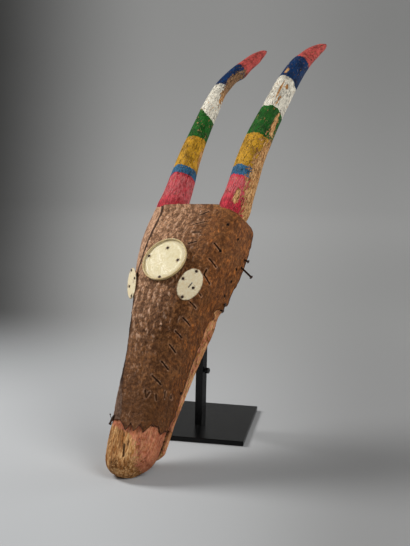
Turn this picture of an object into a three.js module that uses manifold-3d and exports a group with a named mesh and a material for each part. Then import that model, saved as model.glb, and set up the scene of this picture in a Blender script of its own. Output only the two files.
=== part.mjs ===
// Carved antelope mask with long painted horns, nailed tin sheets and tin discs, standing on the
// tip of its muzzle and on a square post with a flat plate.
// Millimetres, +Z up. The origin is the centre of the plate's underside and the mask faces -Y.
// In the mask's own frame x runs to the mask's left, y goes into the mask away from its face
// (depth = -y, counted from the plane of the rear rim) and z runs along the rear rim from the
// muzzle to the crown.

import * as THREE from 'three';
import { mergeVertices } from 'three/addons/utils/BufferGeometryUtils.js';
import Module from 'manifold-3d';

const wasm = await Module();
wasm.setup();

// Stand
const PLATE_SIDE = 180;
const PLATE_THICK = 8;
const PLATE_TURN = 20.5;
const PLATE_CHAMFER = 0.8;
const POST_AT = [17.4, -20.9];
const POST_SIZE = 13;
const POST_WALL = 1.6;
const POST_TOP = 172;
const ROD_SIZE = 9;
const ROD_FOOT = 30;
const ROD_TOP = 314;
const SCREW_HEIGHT = 102.5;
const SCREW_STEM = { diameter: 4, from: 4.8, to: 10.8 };
const KNOB = { diameter: 9.5, from: 8, to: 14, edge: 0.8 };
const CRADLE = { plate: [54, 20, 3], plateDepth: 16, block: [16, 22, 36], blockDepth: 14.5, across: 10.6 };
const FIT = 0.4;

// How the mask stands
const MUZZLE_AT = [40.5, -266.3];
const CONTACT_DEPTH = 29.7;
const SIDE_TILT = 6.2;
const LEAN_BACK = 36.5;

// Carved head, as [place along the rim, value]
const HEAD_LENGTH = 446;
const HALF_WIDTH = [
  [2.5, 9.5], [4.5, 17], [9, 24], [15, 29.5], [30, 34.8], [60, 37.5], [88, 38.2], [130, 41.4], [180, 46.5],
  [230, 52.5], [270, 59.5], [292, 67.5], [320, 73], [350, 80.5], [385, 84], [420, 83.5], [446, 80],
];
const CENTRE = [[0, -9], [30, -5.5], [60, -4.2], [88, -3], [150, -0.5], [200, 0], [446, 0]];
const CREST = [
  [2.5, 45], [6, 51], [13, 56], [30, 59], [75, 62], [130, 74.5], [180, 85], [241, 94],
  [290, 92], [326, 88], [380, 79], [446, 59.5],
];
const SQUARENESS = [
  [0, 2.2], [30, 3.2], [77, 4.4], [132, 3.6], [186, 2.6], [248, 2.7], [295, 3.2], [340, 3.1], [446, 4],
];
const WIDEST_DEPTH = [[0, 34], [30, 32], [75, 26], [130, 20], [446, 26]];
const LIP_DEPTH = [[2.5, 28], [6, 21], [13, 17.5], [30, 14], [84, 15.5]];
const MOUTH_END = 86;
const TIP_STATIONS = [2.5, 4, 6.5, 10, 15, 25, 50, 68, 85.9];
const CORNER = 5;
const SECTION_ARCS = 9;
const HEAD_STEP = 22;

// Lower jaw
const JAW_TIP = 47;
const JAW_ROOT = 100;
const JAW_DEPTHS = [-3, 12];

// Hollow for the wearer's face
const WALL = 12;
const HOLLOW_BOTTOM = 104;
const HOLLOW_TOP = 428;
const HOLLOW_CREST = [
  [104, 22], [116, 40], [140, 60], [180, 71], [241, 81], [326, 75], [380, 66], [412, 50], [428, 30],
];

// Horns: centre line in [x, depth, z] for the mask's left horn, and diameters along it
const HORN_LINE = [
  [56, 36, 400], [58.5, 33.5, 450], [59.6, 28.8, 500], [60.5, 25, 550], [61.2, 16.5, 600], [62.8, 3, 660],
  [64.5, -12.8, 720], [61.5, -42, 780], [59.4, -62, 810], [58.9, -83, 840], [60.3, -107, 872],
  [60.5, -117, 884],
];
const LEFT_HORN_DIAMETERS = [
  [400, 41], [430, 44], [450, 49.5], [475, 46.5], [525, 44.5], [600, 41.8], [660, 38.2], [720, 35.9],
  [780, 31.6], [810, 27.7], [840, 23.7], [860, 18.4], [875, 13.2], [884, 7],
];
const RIGHT_HORN_DIAMETERS = [
  [400, 41], [430, 44], [450, 49.5], [475, 44.4], [525, 39.4], [575, 34.9], [600, 32], [660, 29.5],
  [720, 25], [780, 23.5], [810, 22.5], [840, 20.5], [860, 15], [875, 9], [884, 2.4],
];
const HORN_SWELL = 1.04;
const HORN_SIDES = 10;
const HORN_STEPS = 23;

// Tin sheets
const SHEET_GAP = 0.55;
const SHEET_THICK = 1;
const SEAM_LIFT = 1.5;
const SEAM_LAP = 9;
const LIFT_END = 30;
const SKIN_FROM = 50;
const SLAB_REACH = [-3, 6];
const SIDE_EDGE_DEPTH = [
  [60, 15], [120, 13], [180, 14], [276, 15], [284, 7], [292, 1], [350, 0.5], [446, 0.5],
];
const SEAM_ARC = [[60, 14], [110, 21], [150, 34], [230, 43], [320, 52], [446, 53]];
const TOP_EDGE = [[-1, 444.5], [0, 444.5], [0.35, 443], [0.7, 436], [1, 434]];
const TOOTH_EDGE = [
  [0, 78], [0.14, 63], [0.22, 75], [0.32, 62.5], [0.4, 75], [0.5, 63.5], [0.57, 76.5],
  [0.72, 79], [0.84, 71.5], [0.91, 78], [1, 81],
];
const BETWEEN_TEETH = [0.07, 0.61, 0.66, 0.76, 0.95];
const SHEET_BOTTOM = 79;

// Jar lid and eye discs
const LID = { at: 327.5, diameter: 75, height: 9, wall: 1.2, pitch: 5.5, sides: 28 };
const EYE = { long: 26.5, short: 17.5, thick: 1, pitch: -12, roll: 14 };
const EYE_PLACES = { left: { side: 48, at: 292, yaw: 43 }, right: { side: -53, at: 293, yaw: 36 } };
const DISC_GAP = 0.6;
const TACK = { head: 1.8, dome: 0.9, stem: 0.7, sides: 5 };
const LID_TACK_LENGTH = 11;
const EYE_TACK_LENGTH = 9;
const LID_TACKS = [[-2, 21], [-30.5, 6], [24, -1], [2, -31.5]];
const EYE_TACKS = [[-2, 22], [-13.5, 1.5], [7, -2], [0, -22.5]];

// Nails along the left cheek: place along the rim, depth of entry, reach, and slant of the shank
const EDGE_NAILS = [
  { z: 375, out: 10, slant: [1, 0.2, -0.35] },
  { z: 361, out: 28, slant: [1, 0.1, -0.75] },
  { z: 296, out: 5, slant: [1, 0, -0.1] },
  { z: 287, out: 6, slant: [1, 0.2, -0.5] },
];
const NAIL_SHANK = 1.1;
const NAIL_HEAD = 2.1;
const NAIL_INSIDE = 8;
const BENT_NAIL = [[-30, 46, 85], [-38, 52, 83.5], [-43, 56, 80], [-47, 58, 74]];
const BENT_NAIL_RADIUS = 1;

const rad = THREE.MathUtils.degToRad;

// Smooth value between knots: cubic pieces whose slopes never overshoot
function along(knots, s) {
  if (s <= knots[0][0]) return knots[0][1];
  const last = knots.length - 1;
  if (s >= knots[last][0]) return knots[last][1];
  const rise = (k) => (knots[k + 1][1] - knots[k][1]) / (knots[k + 1][0] - knots[k][0]);
  const slope = (k) => {
    if (k === 0) return rise(0);
    if (k === last) return rise(last - 1);
    const before = rise(k - 1);
    const after = rise(k);
    return before * after <= 0 ? 0 : (2 * before * after) / (before + after);
  };
  let i = 0;
  while (s > knots[i + 1][0]) i += 1;
  const span = knots[i + 1][0] - knots[i][0];
  const t = (s - knots[i][0]) / span;
  const lift = (2 * t - 3) * t * t + 1;
  return lift * knots[i][1] + (1 - lift) * knots[i + 1][1]
    + span * t * (1 - t) * ((1 - t) * slope(i) - t * slope(i + 1));
}

// Straight-line value between knots, for edges with real corners
function between(knots, s) {
  let i = 0;
  while (i < knots.length - 2 && s > knots[i + 1][0]) i += 1;
  const t = THREE.MathUtils.clamp((s - knots[i][0]) / (knots[i + 1][0] - knots[i][0]), 0, 1);
  return knots[i][1] + t * (knots[i + 1][1] - knots[i][1]);
}

// Closed body through rings of equal length, capped by flat fans
function loft(rings) {
  const count = rings[0].length;
  const positions = rings.flat().flatMap((p) => [p.x, p.y, p.z]);
  const index = [];
  for (let i = 0; i < rings.length - 1; i += 1) {
    for (let j = 0; j < count; j += 1) {
      const a = i * count + j;
      const b = i * count + ((j + 1) % count);
      index.push(a, b, a + count, b, b + count, a + count);
    }
  }
  [0, rings.length - 1].forEach((end) => {
    const centre = rings[end].reduce((sum, p) => sum.add(p), new THREE.Vector3()).divideScalar(count);
    const c = positions.length / 3;
    positions.push(centre.x, centre.y, centre.z);
    for (let j = 0; j < count; j += 1) {
      const a = end * count + j;
      const b = end * count + ((j + 1) % count);
      if (end === 0) index.push(c, b, a);
      else index.push(c, a, b);
    }
  });
  const geometry = new THREE.BufferGeometry();
  geometry.setAttribute('position', new THREE.Float32BufferAttribute(positions, 3));
  geometry.setIndex(index);
  return geometry;
}

// Solids for joining and cutting
function solid(geometry) {
  const plain = geometry.clone();
  plain.deleteAttribute('normal');
  plain.deleteAttribute('uv');
  const merged = mergeVertices(plain, 1e-4);
  const body = new wasm.Manifold(new wasm.Mesh({
    numProp: 3,
    vertProperties: new Float32Array(merged.attributes.position.array),
    triVerts: new Uint32Array(merged.index.array),
  }));
  return body.volume() < 0 ? solid(flipped(merged)) : body;
}

function flipped(geometry) {
  const copy = geometry.clone();
  const order = geometry.index.array;
  const index = [];
  for (let i = 0; i < order.length; i += 3) index.push(order[i], order[i + 2], order[i + 1]);
  copy.setIndex(index);
  return copy;
}

function shape(body) {
  const mesh = body.getMesh();
  const geometry = new THREE.BufferGeometry();
  geometry.setAttribute('position', new THREE.Float32BufferAttribute(mesh.vertProperties, 3));
  geometry.setIndex(new THREE.Uint32BufferAttribute(mesh.triVerts, 1));
  return geometry;
}

function piece(name, geometry, material) {
  const mesh = new THREE.Mesh(geometry, material);
  mesh.name = name;
  return mesh;
}

// One side of a cross-section, from the middle of the back to the middle of the front:
// a flat back, a small corner, a straight flank and a rounded-square front
function halfSection(halfWidth, crest, floor, widest, squareness, corner) {
  const points = [
    [0, floor],
    [halfWidth - corner, floor],
    [halfWidth - corner * 0.3, floor + corner * 0.3],
    [halfWidth, floor + corner],
  ];
  for (let k = 0; k <= SECTION_ARCS; k += 1) {
    const turn = (Math.PI / 2) * (k / SECTION_ARCS);
    const x = halfWidth * Math.cos(turn) ** (2 / squareness);
    const depth = widest + (crest - widest) * Math.sin(turn) ** (2 / squareness);
    points.push([k === SECTION_ARCS ? 0 : x, depth]);
  }
  return points;
}

function ring(z, half) {
  const other = half.slice(1, -1).reverse().map(([x, depth]) => [-x, depth]);
  return [...half, ...other].map(([x, depth]) => new THREE.Vector3(x + along(CENTRE, z), -depth, z));
}

const woodFloor = (z) => (z < MOUTH_END ? along(LIP_DEPTH, z) : 0);

function woodHalf(z) {
  return halfSection(along(HALF_WIDTH, z), along(CREST, z), woodFloor(z),
    along(WIDEST_DEPTH, z), along(SQUARENESS, z), CORNER);
}

// Stations packed closely at the muzzle tip and at the end of the mouth
function stations(from, to, step, extra = []) {
  const count = Math.round((to - from) / step);
  const even = Array.from({ length: count + 1 }, (_, i) => from + ((to - from) * i) / count);
  return [...new Set([...even, ...extra])].sort((a, b) => a - b);
}

const HEAD_PLACES = stations(MOUTH_END + 3, HEAD_LENGTH, HEAD_STEP, TIP_STATIONS);

function headBody() {
  return solid(loft(HEAD_PLACES.map((z) => ring(z, woodHalf(z)))));
}

function jawBody() {
  const [rear, front] = JAW_DEPTHS;
  const places = stations(JAW_TIP, JAW_ROOT, 9, [JAW_TIP + 1.5, JAW_TIP + 4]);
  return solid(loft(places.map((z) => {
    const growth = Math.min(1, 0.62 + 0.38 * Math.sqrt((z - JAW_TIP) / 12));
    const halfWidth = along(HALF_WIDTH, z) * 0.975 * growth;
    const middle = (rear + front) / 2;
    const reach = (front - rear) / 2 * Math.min(1, 0.55 + 0.45 * Math.sqrt((z - JAW_TIP) / 6));
    return ring(z, halfSection(halfWidth, middle + reach, middle - reach, middle, 3.5, 3));
  })));
}

function hollowBody() {
  const places = stations(HOLLOW_BOTTOM, HOLLOW_TOP, 24, [HOLLOW_BOTTOM + 5, HOLLOW_TOP - 6]);
  return solid(loft(places.map((z) => {
    const halfWidth = along(HALF_WIDTH, z) - WALL - 0.04 * Math.max(0, z - 330);
    return ring(z, halfSection(halfWidth, along(HOLLOW_CREST, z), -30, 12, 2.6, 4));
  })));
}

// Horn: rings square to the centre line, their radius uneven like adzed wood
function hornBody(side, diameters, chips, extra = 0) {
  const knots = HORN_LINE.map(([x, depth, z]) => new THREE.Vector3(side * x, -depth, z));
  const line = new THREE.CatmullRomCurve3(knots, false, 'centripetal');
  const rings = [];
  for (let i = 0; i <= HORN_STEPS; i += 1) {
    const t = i / HORN_STEPS;
    const centre = line.getPointAt(t);
    const ahead = line.getTangentAt(t);
    const across = new THREE.Vector3(1, 0, 0).addScaledVector(ahead, -ahead.x).normalize();
    const back = new THREE.Vector3().crossVectors(ahead, across);
    const section = [];
    for (let j = 0; j < HORN_SIDES; j += 1) {
      const turn = (2 * Math.PI * j) / HORN_SIDES;
      const radius = (along(diameters, centre.z) / 2) * HORN_SWELL * chips(t, turn) + extra;
      section.push(centre.clone().addScaledVector(across, radius * Math.cos(turn))
        .addScaledVector(back, radius * Math.sin(turn)));
    }
    rings.push(section);
  }
  return solid(loft(rings));
}

const bump = (t, centre, width) => Math.exp(-(((t - centre) / width) ** 2));

// Facing depth on the wood or on a skin laid over it
function skinPoint(z, arc, offset) {
  const half = woodHalf(z).slice(3);
  const path = half.reverse();
  let left = Math.abs(arc);
  let k = 0;
  let step = Math.hypot(path[1][0] - path[0][0], path[1][1] - path[0][1]);
  while (left > step && k < path.length - 2) {
    left -= step;
    k += 1;
    step = Math.hypot(path[k + 1][0] - path[k][0], path[k + 1][1] - path[k][1]);
  }
  const t = left / step;
  const at = [0, 1].map((c) => path[k][c] + t * (path[k + 1][c] - path[k][c]));
  const out = [path[k][1] - path[k + 1][1], path[k + 1][0] - path[k][0]].map((v) => v / step);
  const sign = arc < 0 ? -1 : 1;
  const x = along(CENTRE, z) + sign * (at[0] + offset * out[0]);
  return new THREE.Vector3(x, -(at[1] + offset * out[1]), z);
}

// Arc from the middle of the front to where the flank reaches a given depth
function arcToDepth(z, depth) {
  const path = woodHalf(z).slice(3).reverse();
  let sum = 0;
  for (let k = 0; k < path.length - 1; k += 1) {
    const step = Math.hypot(path[k + 1][0] - path[k][0], path[k + 1][1] - path[k][1]);
    if (path[k + 1][1] < depth) {
      return sum + step * ((path[k][1] - depth) / (path[k][1] - path[k + 1][1]));
    }
    sum += step;
  }
  return sum;
}

const SLAB_ROWS = stations(0, 1, 1 / 12, [0.55, 0.572, 0.593]);

// Wood's outline grown outwards by a distance that may change across it
function grownRing(z, reach) {
  const path = ring(z, woodHalf(z));
  const away = (from, to) => new THREE.Vector3(from.y - to.y, to.x - from.x, 0).normalize();
  return path.map((p, j) => {
    const before = away(path.at(j - 1), p);
    const after = away(p, path[(j + 1) % path.length]);
    const share = 1 + before.dot(after);
    return p.clone().addScaledVector(before.add(after), reach(p.x) / share);
  });
}

// Tin all round the head, from which each sheet is cut
function skin(reach) {
  const places = HEAD_PLACES.filter((z) => z >= SKIN_FROM);
  const grown = (thick) => solid(loft(places.map((z) => grownRing(z, (x) => reach(x) + thick))));
  return grown(SHEET_THICK).subtract(grown(0));
}

// Thick slab that follows the skin: an outer and an inner grid joined round their rim
function slab(columns, rows, place) {
  const layer = (offset) => columns.map((u) => rows.map((v) => place(u, v, offset)));
  const [below, above] = SLAB_REACH;
  const positions = [layer(above), layer(below)].flat(2).flatMap((p) => [p.x, p.y, p.z]);
  const n = rows.length;
  const e = columns.length - 1;
  const at = (k, i, j) => k * columns.length * n + i * n + j;
  const index = [];
  const quad = (a, b, c, d) => index.push(a, b, c, a, c, d);
  for (let i = 0; i < e; i += 1) {
    for (let j = 0; j < n - 1; j += 1) {
      quad(at(0, i, j), at(0, i + 1, j), at(0, i + 1, j + 1), at(0, i, j + 1));
      quad(at(1, i, j), at(1, i, j + 1), at(1, i + 1, j + 1), at(1, i + 1, j));
    }
    quad(at(0, i, 0), at(1, i, 0), at(1, i + 1, 0), at(0, i + 1, 0));
    quad(at(0, i, n - 1), at(0, i + 1, n - 1), at(1, i + 1, n - 1), at(1, i, n - 1));
  }
  for (let j = 0; j < n - 1; j += 1) {
    quad(at(0, 0, j), at(0, 0, j + 1), at(1, 0, j + 1), at(1, 0, j));
    quad(at(0, e, j), at(1, e, j), at(1, e, j + 1), at(0, e, j + 1));
  }
  const geometry = new THREE.BufferGeometry();
  geometry.setAttribute('position', new THREE.Float32BufferAttribute(positions, 3));
  geometry.setIndex(index);
  return solid(geometry);
}

// The front sheet lies higher on the mask's right, where the side sheet is tucked under it
function frontSheet() {
  const columns = [...TOOTH_EDGE.map(([u]) => u), ...BETWEEN_TEETH].sort((a, b) => a - b);
  const cover = slab(columns, SLAB_ROWS, (u, v, offset) => {
    const bottom = between(TOOTH_EDGE, u);
    const z = bottom + v * (between(TOP_EDGE, u) - bottom);
    const seam = -along(SEAM_ARC, z);
    const edge = arcToDepth(z, along(SIDE_EDGE_DEPTH, z));
    return skinPoint(z, seam + u * (edge - seam), offset);
  });
  return skin((x) => SHEET_GAP + (x < 1 ? SEAM_LIFT : 0)).intersect(cover);
}

function sideSheet() {
  const cover = slab(stations(0, 1, 1 / 5), SLAB_ROWS, (u, v, offset) => {
    const z = SHEET_BOTTOM + v * (TOP_EDGE[0][1] - SHEET_BOTTOM);
    const seam = along(SEAM_ARC, z) - SEAM_LAP;
    const edge = arcToDepth(z, along(SIDE_EDGE_DEPTH, z));
    return skinPoint(z, -(edge + u * (seam - edge)), offset);
  });
  return skin(() => SHEET_GAP).intersect(cover);
}

// Height of the tin's face over the wood
function tinTop(z, arc) {
  const lifted = arc < 0 ? Number(-arc < along(SEAM_ARC, z) + 1) : Math.max(0, 1 - arc / LIFT_END);
  return SHEET_GAP + SHEET_THICK + SEAM_LIFT * lifted;
}

// How far a flat thing with the given normal has to stand off so that it clears the skin below it
function standOff(at, normal, reach) {
  let highest = -Infinity;
  for (let dz = -reach; dz <= reach; dz += reach / 6) {
    for (let arc = -100; arc <= 100; arc += 4) {
      const p = skinPoint(at.z + dz, arc, tinTop(at.z + dz, arc));
      const away = p.clone().sub(at);
      const height = away.dot(normal);
      if (away.addScaledVector(normal, -height).length() < reach) highest = Math.max(highest, height);
    }
  }
  return highest + DISC_GAP;
}

// Frame of a disc: its middle on the skin, its normal turned by yaw and pitch off the depth axis
function discFrame(side, z, yaw, pitch, roll, reach) {
  const y = rad(yaw);
  const p = rad(pitch);
  const normal = new THREE.Vector3(Math.sin(y) * Math.cos(p), -Math.cos(y) * Math.cos(p), Math.sin(p));
  let arc = 0;
  while (Math.abs(skinPoint(z, arc, 0).x) < Math.abs(side) && arc < 90) arc += 0.5;
  const at = skinPoint(z, side < 0 ? -arc : arc, SHEET_THICK);
  const up = new THREE.Vector3(0, 0, 1).addScaledVector(normal, -normal.z).normalize();
  const across = new THREE.Vector3().crossVectors(up, normal);
  at.addScaledVector(normal, standOff(at, normal, reach));
  const turned = new THREE.Matrix4().makeRotationZ(rad(roll));
  return new THREE.Matrix4().makeBasis(across, up, normal).multiply(turned).setPosition(at);
}

// Pan turned from its profile, open along its axis, with a rolled rim
function lidGeometry() {
  const { diameter, height, wall } = LID;
  const r = diameter / 2;
  const profile = [
    [0, 0], [r - 2.5, 0], [r - 0.5, 1.5], [r - 0.5, height - 2.8], [r, height - 2], [r - 0.4, height],
    [r - 1.9, height], [r - 0.5 - wall, height - 2.8], [r - 0.5 - wall, wall + 1], [r - 3, wall], [0, wall],
  ].map(([x, y]) => new THREE.Vector2(x, y));
  return new THREE.LatheGeometry(profile, LID.sides).rotateX(Math.PI / 2);
}

function eyeGeometry() {
  const { long, short, thick } = EYE;
  const oval = new THREE.Shape().absellipse(0, 0, short, long, 0, 2 * Math.PI);
  return new THREE.ExtrudeGeometry(oval, { depth: thick, bevelEnabled: false, curveSegments: 18 });
}

// Small nail, its head resting on the plane z = 0 and its shank going down
function tackGeometry(length) {
  const { head, dome, stem, sides } = TACK;
  const profile = [
    [0, -length], [stem, -length + 2.5], [stem, 0], [head, 0], [head * 0.75, dome * 0.75], [0, dome],
  ].map(([x, y]) => new THREE.Vector2(x, y));
  return new THREE.LatheGeometry(profile, sides).rotateX(Math.PI / 2);
}

// Headed nail along a direction: the shank runs from inside the wood to the head
function nailBody(from, direction, out, inside) {
  const profile = [
    [0, -inside], [NAIL_SHANK, -inside + 3], [NAIL_SHANK, out - 1.2], [NAIL_HEAD, out - 1.2],
    [NAIL_HEAD, out - 0.4], [0, out],
  ].map(([x, y]) => new THREE.Vector2(x, y));
  const nail = new THREE.LatheGeometry(profile, 8);
  return alongLine(nail, from, direction);
}

// Room round a nail, as a plain bore a little larger
function clearance(from, direction, out, inside) {
  const radius = NAIL_SHANK + FIT;
  const profile = [[0, -inside - FIT], [radius, -inside - FIT], [radius, out], [0, out]]
    .map(([x, y]) => new THREE.Vector2(x, y));
  return alongLine(new THREE.LatheGeometry(profile, 8), from, direction);
}

function alongLine(geometry, from, direction) {
  const turn = new THREE.Quaternion().setFromUnitVectors(new THREE.Vector3(0, 1, 0), direction);
  return solid(geometry.applyQuaternion(turn).translate(from.x, from.y, from.z));
}

const steel = new THREE.MeshStandardMaterial({ color: 0x1c1d1e, roughness: 0.55, metalness: 0.7 });
const wood = new THREE.MeshStandardMaterial({ color: 0xb98a52, roughness: 0.85, metalness: 0 });
const rust = new THREE.MeshStandardMaterial({ color: 0x6d4a3a, roughness: 0.7, metalness: 0.5 });
const mauve = new THREE.MeshStandardMaterial({ color: 0x7b5f57, roughness: 0.7, metalness: 0.4 });
const cream = new THREE.MeshStandardMaterial({ color: 0xe3d7a8, roughness: 0.5, metalness: 0.2 });
const iron = new THREE.MeshStandardMaterial({ color: 0x33291f, roughness: 0.7, metalness: 0.8 });

// Nail bent over, as a round section along its path
function bentNail(radius) {
  const knots = BENT_NAIL.map(([x, depth, z]) => new THREE.Vector3(x, -depth, z));
  const section = new THREE.Shape().absarc(0, 0, radius, 0, 2 * Math.PI);
  return new THREE.ExtrudeGeometry(section, {
    steps: 8, curveSegments: 3, bevelEnabled: false, extrudePath: new THREE.CatmullRomCurve3(knots),
  });
}

// Thumb screw lying along x, measured from the middle of the post
function clampScrew() {
  const stem = SCREW_STEM.diameter / 2;
  const rim = KNOB.diameter / 2;
  const { from, to, edge } = KNOB;
  const profile = [
    [0, SCREW_STEM.from], [stem, SCREW_STEM.from], [stem, from], [rim - edge, from],
    [rim, from + edge], [rim, to - edge], [rim - edge, to], [0, to],
  ].map(([x, y]) => new THREE.Vector2(x, y));
  return new THREE.LatheGeometry(profile, 16).rotateZ(-Math.PI / 2);
}

function stand() {
  const group = new THREE.Group();
  const edge = PLATE_SIDE / 2 - PLATE_CHAMFER;
  const corners = [[-edge, -edge], [edge, -edge], [edge, edge], [-edge, edge]];
  const outline = new THREE.Shape(corners.map(([x, y]) => new THREE.Vector2(x, y)));
  const plate = new THREE.ExtrudeGeometry(outline, {
    depth: PLATE_THICK - 2 * PLATE_CHAMFER, bevelEnabled: true, bevelThickness: PLATE_CHAMFER,
    bevelSize: PLATE_CHAMFER, bevelSegments: 1,
  }).translate(0, 0, PLATE_CHAMFER);
  const plateMesh = piece('base_plate', plate, steel);
  plateMesh.rotation.z = rad(PLATE_TURN);
  group.add(plateMesh);

  const post = new THREE.Group();
  post.position.set(POST_AT[0], POST_AT[1], 0);
  const foot = PLATE_THICK + 0.3;
  const tall = POST_TOP - foot;
  const bore = POST_SIZE - 2 * POST_WALL;
  const holeRadius = SCREW_STEM.diameter / 2 + FIT;
  const screwHole = new THREE.CylinderGeometry(holeRadius, holeRadius, 8, 16)
    .rotateZ(Math.PI / 2).translate(POST_SIZE / 2, 0, SCREW_HEIGHT);
  const tube = solid(new THREE.BoxGeometry(POST_SIZE, POST_SIZE, tall).translate(0, 0, foot + tall / 2))
    .subtract(solid(new THREE.BoxGeometry(bore, bore, tall).translate(0, 0, foot + tall / 2 + POST_WALL)))
    .subtract(solid(screwHole));
  post.add(piece('post_tube', shape(tube), steel));
  const screw = piece('clamp_screw', clampScrew(), steel);
  screw.position.z = SCREW_HEIGHT;
  post.add(screw);
  const rod = new THREE.BoxGeometry(ROD_SIZE, ROD_SIZE, ROD_TOP - ROD_FOOT)
    .translate(0, 0, (ROD_TOP + ROD_FOOT) / 2);
  post.add(piece('support_rod', rod, steel));
  group.add(post);
  return group;
}

// Rest under the inside of the crown: a plate on a block that takes the end of the rod
function cradle(intoMask) {
  const [across, deep, thick] = CRADLE.plate;
  const [blockAcross, blockDeep, blockTall] = CRADLE.block;
  const top = HOLLOW_TOP - FIT;
  const plate = new THREE.BoxGeometry(across, deep, thick)
    .translate(CRADLE.across, -CRADLE.plateDepth, top - thick / 2);
  const block = new THREE.BoxGeometry(blockAcross, blockDeep, blockTall)
    .translate(CRADLE.across, -CRADLE.blockDepth, top - thick / 2 - blockTall / 2);
  const socket = ROD_SIZE + 2 * FIT;
  const room = new THREE.BoxGeometry(socket, socket, ROD_TOP)
    .translate(POST_AT[0], POST_AT[1], ROD_TOP / 2 + FIT).applyMatrix4(intoMask);
  return piece('cradle', shape(solid(plate).add(solid(block)).subtract(solid(room))), steel);
}

// The two horns, each a little larger where room has to be left round it
function horns(extra = 0) {
  const chipsLeft = (t, turn) => 1
    + 0.035 * Math.sin(3 * turn + 9 * t) + 0.02 * Math.sin(5 * turn - 14 * t);
  const chipsRight = (t, turn) => chipsLeft(t, turn + 1.3)
    + 0.34 * bump(t, 0.78, 0.04) * Math.max(0, Math.sin(turn)) ** 2;
  return hornBody(1, LEFT_HORN_DIAMETERS, chipsLeft, extra)
    .add(hornBody(-1, RIGHT_HORN_DIAMETERS, chipsRight, extra));
}

function maskWood(cuts, intoMask) {
  const floor = solid(new THREE.BoxGeometry(200, 200, 40).translate(MUZZLE_AT[0], MUZZLE_AT[1], -20)
    .applyMatrix4(intoMask));
  const body = headBody().add(jawBody()).add(horns()).subtract(hollowBody());
  return [floor, ...cuts].reduce((left, cut) => left.subtract(cut), body);
}

function mask(group, intoMask) {
  const woodCuts = [];
  const sheetCuts = [horns(SHEET_GAP)];
  const parts = [];

  const lidFrame = discFrame(0, LID.at, 0, LID.pitch, 0, LID.diameter / 2);
  let lid = solid(lidGeometry().applyMatrix4(lidFrame));
  const room = new THREE.CylinderGeometry(TACK.stem + FIT, TACK.stem + FIT, 2 * LID_TACK_LENGTH + 1, 6)
    .rotateX(Math.PI / 2);
  const driveTack = (name, frame, x, y, rise, length) => {
    const seat = frame.clone().multiply(new THREE.Matrix4().makeTranslation(x, y, rise + FIT));
    parts.push(piece(name, tackGeometry(length).applyMatrix4(seat), iron));
    const bore = solid(room.clone().applyMatrix4(seat));
    sheetCuts.push(bore);
    woodCuts.push(bore);
    return bore;
  };
  LID_TACKS.forEach(([x, y], k) => {
    lid = lid.subtract(driveTack(`lid_tack_${k + 1}`, lidFrame, x, y, LID.wall, LID_TACK_LENGTH));
  });
  Object.entries(EYE_PLACES).forEach(([name, { side, at, yaw }]) => {
    const sign = Math.sign(side);
    const frame = discFrame(side, at, sign * yaw, EYE.pitch, -sign * EYE.roll, EYE.short);
    let disc = solid(eyeGeometry().applyMatrix4(frame));
    EYE_TACKS.forEach(([x, y], k) => {
      const tack = `eye_tack_${name}_${k + 1}`;
      disc = disc.subtract(driveTack(tack, frame, sign * x, y, EYE.thick, EYE_TACK_LENGTH));
    });
    parts.push(piece(`eye_disc_${name}`, shape(disc), cream));
  });
  parts.push(piece('forehead_lid', shape(lid), cream));

  EDGE_NAILS.forEach(({ z, out, slant }, k) => {
    const arc = arcToDepth(z, along(SIDE_EDGE_DEPTH, z)) - 3.5;
    const from = skinPoint(z, arc, 0);
    const direction = new THREE.Vector3(slant[0], slant[1], slant[2]).normalize();
    parts.push(piece(`edge_nail_${k + 1}`, shape(nailBody(from, direction, out, NAIL_INSIDE)), iron));
    const bore = clearance(from, direction, 6, NAIL_INSIDE);
    sheetCuts.push(bore);
    woodCuts.push(bore);
  });

  parts.push(piece('bent_nail', bentNail(BENT_NAIL_RADIUS), iron));
  const bend = solid(bentNail(BENT_NAIL_RADIUS + FIT));
  sheetCuts.push(bend);
  woodCuts.push(bend);

  const cut = (body) => sheetCuts.reduce((left, room) => left.subtract(room), body);
  group.add(piece('mask_wood', shape(maskWood(woodCuts, intoMask)), wood));
  group.add(piece('front_sheet', shape(cut(frontSheet())), rust));
  group.add(piece('side_sheet', shape(cut(sideSheet())), mauve));
  group.add(cradle(intoMask), ...parts);
}

const model = new THREE.Group();
model.add(stand());
const leaned = new THREE.Group();
leaned.rotation.x = -rad(LEAN_BACK);
leaned.position.set(0, CONTACT_DEPTH * Math.cos(rad(LEAN_BACK)), -CONTACT_DEPTH * Math.sin(rad(LEAN_BACK)));
const tilted = new THREE.Group();
tilted.rotation.y = -rad(SIDE_TILT);
tilted.position.set(MUZZLE_AT[0], MUZZLE_AT[1], 0);
tilted.add(leaned);
model.add(tilted);
model.updateMatrixWorld(true);
mask(leaned, leaned.matrixWorld.clone().invert());

export default model;
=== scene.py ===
"""Antelope mask with long painted horns, nailed tin and tin discs, on a square post with a flat plate.

Sizes in the tables are millimetres in the mask's own frame: x runs to the mask's left, depth is
counted towards the face from the plane of the rear rim, and the place z runs along that rim from
the muzzle to the crown. The arc is the distance over the wood from the middle of the front.
"""

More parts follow.
